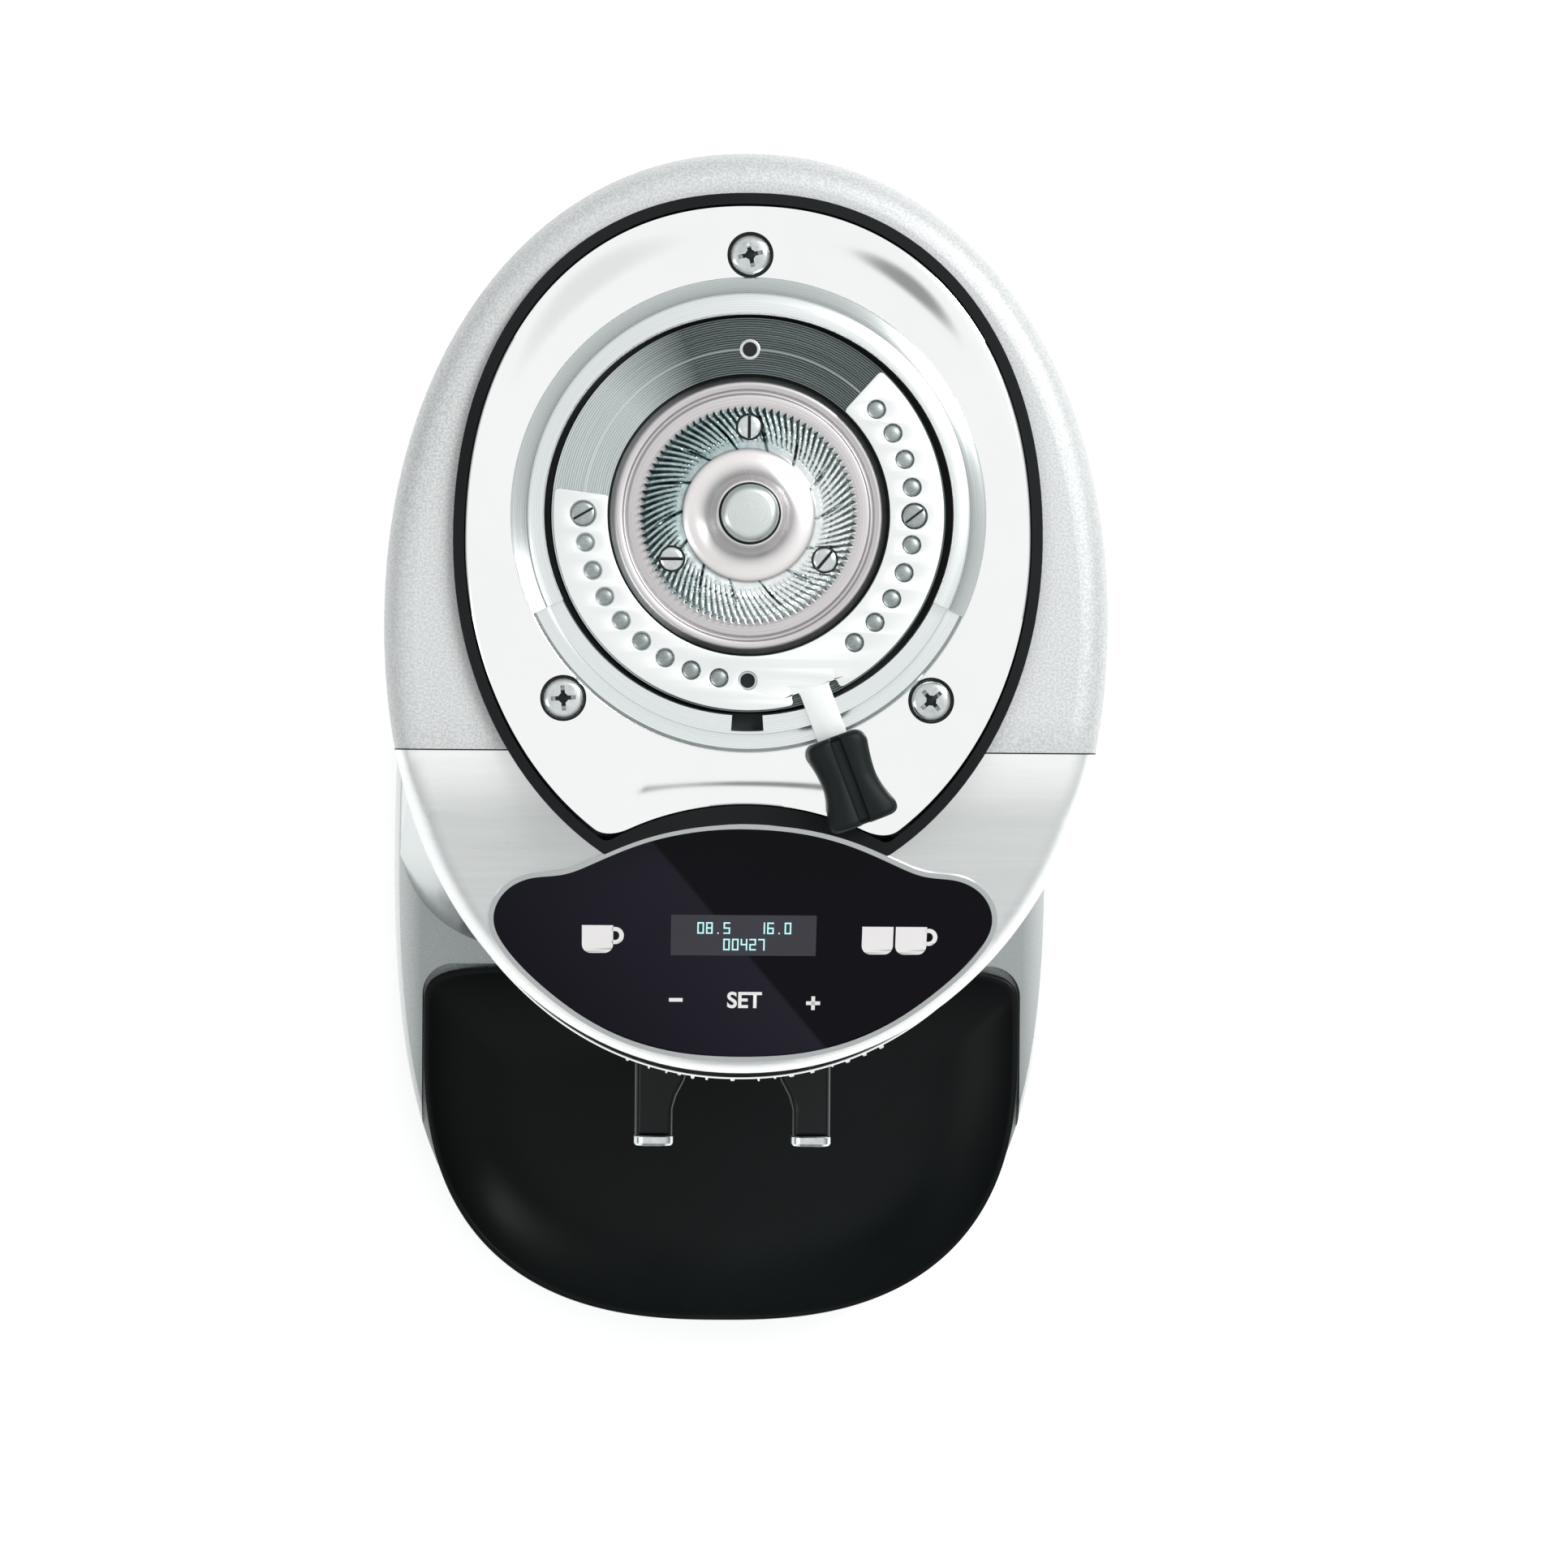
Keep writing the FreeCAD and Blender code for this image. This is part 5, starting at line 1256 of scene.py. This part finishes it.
def makeDisplay():
    d = display
    pane = bar(d["left"], d["right"], d["bottom"], d["top"])
    layOnGlass("displayWindow", [pane], displayTint, 0.02)
    dots = set()
    for middle, text in d["rows"]:
        x = (d["left"] + d["right"] - len(text) * d["pitch"]) / 2 + 0.7
        for letter in text:
            if letter == ".":
                dots.add((round(x + d["digitWide"] / 2, 3), round(middle - d["digitTall"] / 2, 3)))
            for segment in segmentsOf.get(letter, ""):
                (x0, y0), (x1, y1) = segmentLine[segment]
                for step in range(5):
                    t = step / 4
                    px = x + d["digitWide"] * (x0 + (x1 - x0) * t)
                    py = middle + d["digitTall"] * (y0 + (y1 - y0) * t - 0.5)
                    dots.add((round(px, 3), round(py, 3)))
            x += d["pitch"]
    verts, faces = [], []
    for px, py in sorted(dots):
        start = len(verts)
        r = d["dot"]
        verts += [onSlope(px + sx * r, py + sy * r, 0.09) for sx, sy in ((-1, -1), (1, -1), (1, 1), (-1, 1))]
        faces.append((start, start + 1, start + 2, start + 3))
    newPiece("displayDigits", verts, faces, "housing", displayGlow, smooth=False)


makeIcons()
makeDisplay()
print("glass artwork made")

# tray, lip and fork

tray = {"half": 102.9, "rear": -144.1, "front": -266.3, "widest": -170.0, "rearPower": 8.0,
        "frontPower": 2.55, "rim": 50.0, "floor": 32.2, "depth": 13.0, "lip": 2.2, "slopeWidth": 34.0,
        "shift": 0.55, "steps": 300}


# a closed loop alongside the tray's outline, drawn in by inset millimetres
def trayRing(inset, height):
    t = tray
    loop = []
    widest = t["widest"] - t["shift"] * inset
    for step in range(t["steps"]):
        turn = 2 * math.pi * step / t["steps"]
        c, s = math.cos(turn), math.sin(turn)
        power = t["rearPower"] if s >= 0 else t["frontPower"]
        power = power - (power - 2.4) * min(1.0, inset / 90.0)
        reach = (t["rear"] - inset - widest) if s >= 0 else (widest - t["front"] - inset)
        x = (t["half"] - inset) * math.copysign(abs(c) ** (2 / power), c)
        y = widest + max(reach, 1.0) * math.copysign(abs(s) ** (2 / power), s)
        loop.append((axisX + x * mm, axisY + y * mm, height * mm))
    return loop


def makeTray():
    t = tray
    rings = [trayRing(2.0, t["floor"]), trayRing(0.3, t["floor"] + 1), trayRing(0.0, t["rim"] - 1.0),
             trayRing(0.25, t["rim"] - 0.3), trayRing(0.9, t["rim"]), trayRing(1.6, t["rim"] - 0.1),
             trayRing(t["lip"], t["rim"] - 0.6)]
    rows = 26
    for row in range(1, rows + 1):
        share = row / rows
        inset = t["lip"] + t["slopeWidth"] * share
        drop = t["depth"] * (1 - (1 - share) ** 2.4) ** 0.95
        rings.append(trayRing(inset, t["rim"] - 0.6 - drop * 0.93))
    verts = [v for ring in rings for v in ring]
    count = t["steps"]
    faces = ringFaces(len(rings), count)
    faces.append(tuple(range((len(rings) - 1) * count, len(rings) * count)))
    faces.append(tuple(range(count)))
    piece = newPiece("groundsTray", verts, faces, "grounds_tray", trayBlack, angle=60)
    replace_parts(piece, "tray")


lip = {"half": 105.5, "front": -167.2, "widest": -31.0, "power": 2.1, "high": 296.0, "low": 292.2,
       "backTo": -119.0, "fade": 9.0, "proud": 2.15, "ribFrom": -33.0, "ribTo": 46.0, "ribStep": 6.1}


# y of the head's front outline at a given x, in millimetres about the burr axis
def headOutline(grow, x):
    half = lip["half"] + grow
    reach = lip["widest"] - lip["front"] + grow
    return lip["widest"] - reach * max(0.0, 1 - abs(x / half) ** lip["power"]) ** (1 / lip["power"])


# a section of (outward, height) points carried along the head's front outline
def alongLip(name, section, stations, material):
    verts = []
    end = abs(stations[0])
    for x in stations:
        y = headOutline(0, x)
        ahead = Vector((0.2, headOutline(0, x + 0.1) - headOutline(0, x - 0.1))).normalized()
        outward = Vector((ahead.y, -ahead.x))
        fade = min(1.0, (end - abs(x)) / lip["fade"])  # the trim sinks into the head at its two ends
        for out, z in section:
            out = out * fade if out > 0 else out
            verts.append((axisX + (x + outward.x * out) * mm, axisY + (y + outward.y * out) * mm, z * mm))
    count = len(section)
    faces = ringFaces(len(stations), count)
    faces += [tuple(range(count)), tuple(range((len(stations) - 1) * count, len(stations) * count))]
    return newPiece(name, verts, faces, "housing", material, angle=30)


def makeLip():
    d = lip
    rim, deep = d["proud"] - 0.7, d["high"] - 1.1
    trim = [(-2.4, deep), (rim, deep), (rim, d["high"] - 0.25), (rim + 0.2, d["high"] - 0.05),
            (d["proud"] - 0.2, d["high"] - 0.05), (d["proud"], d["high"] - 0.3), (d["proud"], d["low"] + 0.3),
            (d["proud"] - 0.3, d["low"]), (-2.4, d["low"])]
    groove = [(-1.0, deep), (rim, deep), (rim, deep + 0.5), (-1.0, deep + 0.5)]
    stations = []
    reached = (d["widest"] - d["backTo"]) / (d["widest"] - d["front"])
    endX = d["half"] * (1 - reached ** d["power"]) ** (1 / d["power"])
    for step in range(161):
        x = -endX * math.cos(math.pi * step / 160)
        stations.append(x)
    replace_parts(alongLip("lipTrim", trim, stations, brightChrome), "lip_trim")
    # painted shade: a dark strip on the trim's step, in the gap between the front cover and the trim's raised
    # edge
    alongLip("lipGrooveShade", groove, stations, paintedRecessShade)
    ribVerts, ribFaces = [], []
    spots = random.Random(7)
    x = d["ribFrom"]
    while x < d["ribTo"]:
        y = headOutline(0, x)
        ahead = Vector((0.2, headOutline(0, x + 0.1) - headOutline(0, x - 0.1))).normalized()
        outward = Vector((ahead.y, -ahead.x))
        half = spots.uniform(0.35, 1.2)
        reach = d["proud"] + spots.uniform(0.5, 1.0)
        start = len(ribVerts)
        for z in (d["low"] + 0.2, d["high"] - 1.8):
            for along, out in ((-half, -1.0), (half, -1.0), (half * 0.7, reach), (-half * 0.7, reach)):
                px = x + ahead.x * along + outward.x * out
                py = y + ahead.y * along + outward.y * out
                ribVerts.append((axisX + px * mm, axisY + py * mm, z * mm))
        ribFaces += [(start, start + 1, start + 2, start + 3), (start + 4, start + 5, start + 6, start + 7)]
        ribFaces += [(start + i, start + (i + 1) % 4, start + 4 + (i + 1) % 4, start + 4 + i)
                     for i in range(4)]
        x += d["ribStep"] * spots.uniform(0.6, 1.3)
    ribs = newPiece("lipRibs", ribVerts, ribFaces, "housing", brightChrome, smooth=False)
    addBevel(ribs, 0.25 * mm, 2)
    applyModifiers(ribs)


forkShape = {"half": 31.0, "tip": 19.0, "root": 14.0, "end": -191.6, "back": -122.0, "low": 215.0,
             "high": 227.0, "edge": 2.6, "corner": 3.4, "cap": 3.0}


def makeFork():
    f = forkShape
    flare = f["end"] + 9
    inner = [(f["tip"], f["end"]), (f["tip"], flare), (f["tip"] - 1.2, flare + 4),
             (f["root"] + 1.2, flare + 9), (f["root"], flare + 14), (f["root"], f["back"] - 26)]
    arc = [(f["root"] * math.cos(math.radians(a)), f["back"] - 26 + f["root"] * math.sin(math.radians(a)))
           for a in range(0, 181, 12)]
    loop = [(-f["half"], f["back"]), (-f["half"], f["end"])] + [(-x, y) for x, y in inner[:-1]]
    loop += [(x, y) for x, y in reversed(arc)] + [(x, y) for x, y in reversed(inner[:-1])]
    loop += [(f["half"], f["end"]), (f["half"], f["back"])]
    placed = [(axisX + x * mm, axisY + y * mm) for x, y in loop]
    piece = flatOutline("filterHolderFork", [placed], f["low"] * mm, f["high"] * mm, f["edge"] * mm,
                        "fork_carriage", forkBlack, 5)
    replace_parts(piece, "fork")
    caps = []
    for side in (-1, 1):
        x0, x1 = sorted((side * f["tip"], side * f["half"]))
        rim = []
        for corner in range(4):
            cx = (x1 - f["corner"]) if corner in (0, 3) else (x0 + f["corner"])
            cz = (f["high"] - f["corner"]) if corner in (0, 1) else (f["low"] + f["corner"])
            for step in range(7):
                turn = math.radians(90 * corner + 15 * step)
                rim.append((cx + f["corner"] * math.cos(turn), cz + f["corner"] * math.sin(turn)))
        mx, mz = (x0 + x1) / 2, (f["low"] + f["high"]) / 2
        rings = []
        for y, share in ((f["end"] + 0.3, 1.0), (f["end"] - 0.1, 1.04), (f["end"] - f["cap"] + 0.9, 1.04),
                         (f["end"] - f["cap"] + 0.2, 0.95), (f["end"] - f["cap"], 0.8)):
            rings.append([(axisX + (mx + (x - mx) * share) * mm, axisY + y * mm,
                           (mz + (z - mz) * share) * mm) for x, z in rim])
        caps.append(rings)
    verts, faces = [], []
    for rings in caps:
        start = len(verts)
        count = len(rings[0])
        verts += [v for ring in rings for v in ring]
        faces += [tuple(start + i for i in face) for face in ringFaces(len(rings), count)]
        last = start + (len(rings) - 1) * count
        faces += [tuple(start + i for i in range(count)), tuple(last + i for i in range(count))]
    piece = newPiece("forkCaps", verts, faces, "fork_carriage", screwSteel, angle=30)
    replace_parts(piece, "fork_caps")


seam = {"y": -69.0, "half": 0.19, "proud": 0.05, "sink": 0.6, "middle": 330.0, "start": 300.0,
        "from": -20.0, "step": 0.5}


# a dark hairline of painted shade where the rear shell meets the front cover, found by rays cast inwards
def makeSeam():
    shell = nodeObject["rear_shell"]
    tree = BVHTree.FromObject(shell, bpy.context.evaluated_depsgraph_get())
    toLocal = shell.matrix_world.inverted()
    y = axisY + seam["y"] * mm
    count = int((180 - 2 * seam["from"]) / seam["step"]) + 1
    spine = []
    for i in range(count):
        turn = math.radians(seam["from"] + seam["step"] * i)
        outward = Vector((math.cos(turn), 0, math.sin(turn)))
        start = Vector((axisX, y + 0.5 * mm, seam["middle"] * mm)) + outward * seam["start"] * mm
        hit = tree.ray_cast(toLocal @ start, toLocal.to_3x3() @ -outward)[0]
        if hit is not None:
            spine.append((shell.matrix_world @ hit, outward))
    verts = []
    for point, outward in spine:
        for dy, out in ((-1, -seam["sink"]), (-1, seam["proud"]), (1, seam["proud"]), (1, -seam["sink"])):
            place = Vector((point.x, y + dy * seam["half"] * mm, point.z)) + outward * out * mm
            verts.append(place)
    faces = ringFaces(len(spine), 4)
    faces += [(0, 1, 2, 3), tuple(4 * len(spine) - 4 + i for i in range(4))]
    newPiece("shellSeam", verts, faces, "housing", paintedRecessShade, smooth=False)


makeTray()
makeLip()
makeFork()
makeSeam()
print("tray, lip, fork and seam made")


# floor, light, camera

stage = {"floorSize": 30.0, "floorLift": 0.4, "floorColour": (0.95, 0.955, 0.955), "keyPower": 24.0,
         "fillPower": 2.5,
         "sky": 0.93, "zenith": (1.0, 1.0, 1.0), "middle": (0.56, 0.575, 0.575),
         "horizon": (0.16, 0.17, 0.17)}
# darker cards hung overhead: compass angle, degrees off the zenith, radius, softness, how dark
cards = ((54, 15, 1.7, 1.6, 0.7), (281, 9.2, 0.8, 0.5, 0.9), (118, 14, 2.5, 3.0, 0.16))


def makeFloor():
    half = stage["floorSize"] / 2
    mesh = bpy.data.meshes.new("floor")
    mesh.from_pydata([(-half, -half, 0), (half, -half, 0), (half, half, 0), (-half, half, 0)],
                     [], [(0, 1, 2, 3)])
    floor = bpy.data.objects.new("floor", mesh)
    bpy.context.scene.collection.objects.link(floor)
    material, tree, shader = newMaterial("paleFloor", roughness=0.8)
    patch = noise(tree, 1.5, 2.0, objectCoords(tree))
    setColour(tree, shader, mixColour(tree, patch, stage["floorColour"], (0.93, 0.935, 0.935)))
    shader.inputs["Emission Color"].default_value = (1.0, 1.0, 1.0, 1.0)
    shader.inputs["Emission Strength"].default_value = stage["floorLift"]
    mesh.materials.append(material)


def areaLight(name, place, target, size, power):
    data = bpy.data.lights.new(name, "AREA")
    data.shape = "RECTANGLE"
    data.size, data.size_y = size
    data.energy = power
    lamp = bpy.data.objects.new(name, data)
    bpy.context.scene.collection.objects.link(lamp)
    lamp.location = place
    lamp.rotation_euler = (Vector(target) - Vector(place)).to_track_quat("-Z", "Y").to_euler()


def hangCard(tree, direction, colour, card):
    angle, offZenith, radius, soft, dark = card
    turn, tip = math.radians(angle), math.radians(offZenith)
    aim = tree.nodes.new("ShaderNodeVectorMath")
    aim.operation = "DOT_PRODUCT"
    tree.links.new(direction, aim.inputs[0])
    flat = math.sin(tip)
    aim.inputs[1].default_value = (flat * math.cos(turn), flat * math.sin(turn), math.cos(tip))
    rim, core = math.cos(math.radians(radius + soft)), math.cos(math.radians(radius))
    inside = mapRange(tree, aim.outputs["Value"], rim, core)
    mask = mathNode(tree, "MULTIPLY", inside, dark)
    return mixColour(tree, mask, colour, (0.03, 0.035, 0.035))


def makeWorld():
    world = bpy.data.worlds.new("studio")
    world.use_nodes = True
    tree = world.node_tree
    back = tree.nodes["Background"]
    coords = tree.nodes.new("ShaderNodeTexCoord")
    split = tree.nodes.new("ShaderNodeSeparateXYZ")
    ramp = tree.nodes.new("ShaderNodeValToRGB")
    tree.links.new(coords.outputs["Generated"], split.inputs[0])
    tree.links.new(split.outputs[2], ramp.inputs[0])
    ramp.color_ramp.elements[0].color = (*stage["horizon"], 1)
    ramp.color_ramp.elements[1].position = 0.85
    ramp.color_ramp.elements[1].color = (*stage["zenith"], 1)
    ramp.color_ramp.elements.new(0.4).color = (*stage["middle"], 1)
    colour = ramp.outputs[0]
    for card in cards:
        colour = hangCard(tree, coords.outputs["Generated"], colour, card)
    tree.links.new(colour, back.inputs[0])
    back.inputs[1].default_value = stage["sky"]
    bpy.context.scene.world = world


# almost straight above the top plate, at a long focal length
def makeCamera():
    place = Vector((-0.044, axisY - 0.066, plateTop + 1.8))
    target = Vector((0.0109, axisY - 0.0784, plateTop))
    data = bpy.data.cameras.new("camera")
    data.lens = 141.5
    data.sensor_width = 36.0
    camera = bpy.data.objects.new("camera", data)
    bpy.context.scene.collection.objects.link(camera)
    ahead = (target - place).normalized()
    right = ahead.cross(Vector((0, 1, 0))).normalized()
    up = right.cross(ahead)
    roll = math.radians(0.4)
    sideways = right * math.cos(roll) + up * math.sin(roll)
    upwards = up * math.cos(roll) - right * math.sin(roll)
    camera.matrix_world = Matrix((
        (sideways.x, upwards.x, -ahead.x, place.x), (sideways.y, upwards.y, -ahead.y, place.y),
        (sideways.z, upwards.z, -ahead.z, place.z), (0, 0, 0, 1)))
    bpy.context.scene.camera = camera


makeFloor()
makeWorld()
areaLight("key", (1.0, 0.8, 1.6), (0, 0, 0.3), (0.5, 1.2), stage["keyPower"])
areaLight("fill", (-1.2, -0.3, 1.3), (0, 0, 0.3), (0.4, 1.2), stage["fillPower"])
makeCamera()
bpy.context.scene.view_settings.view_transform = "Standard"
print("stage ready")
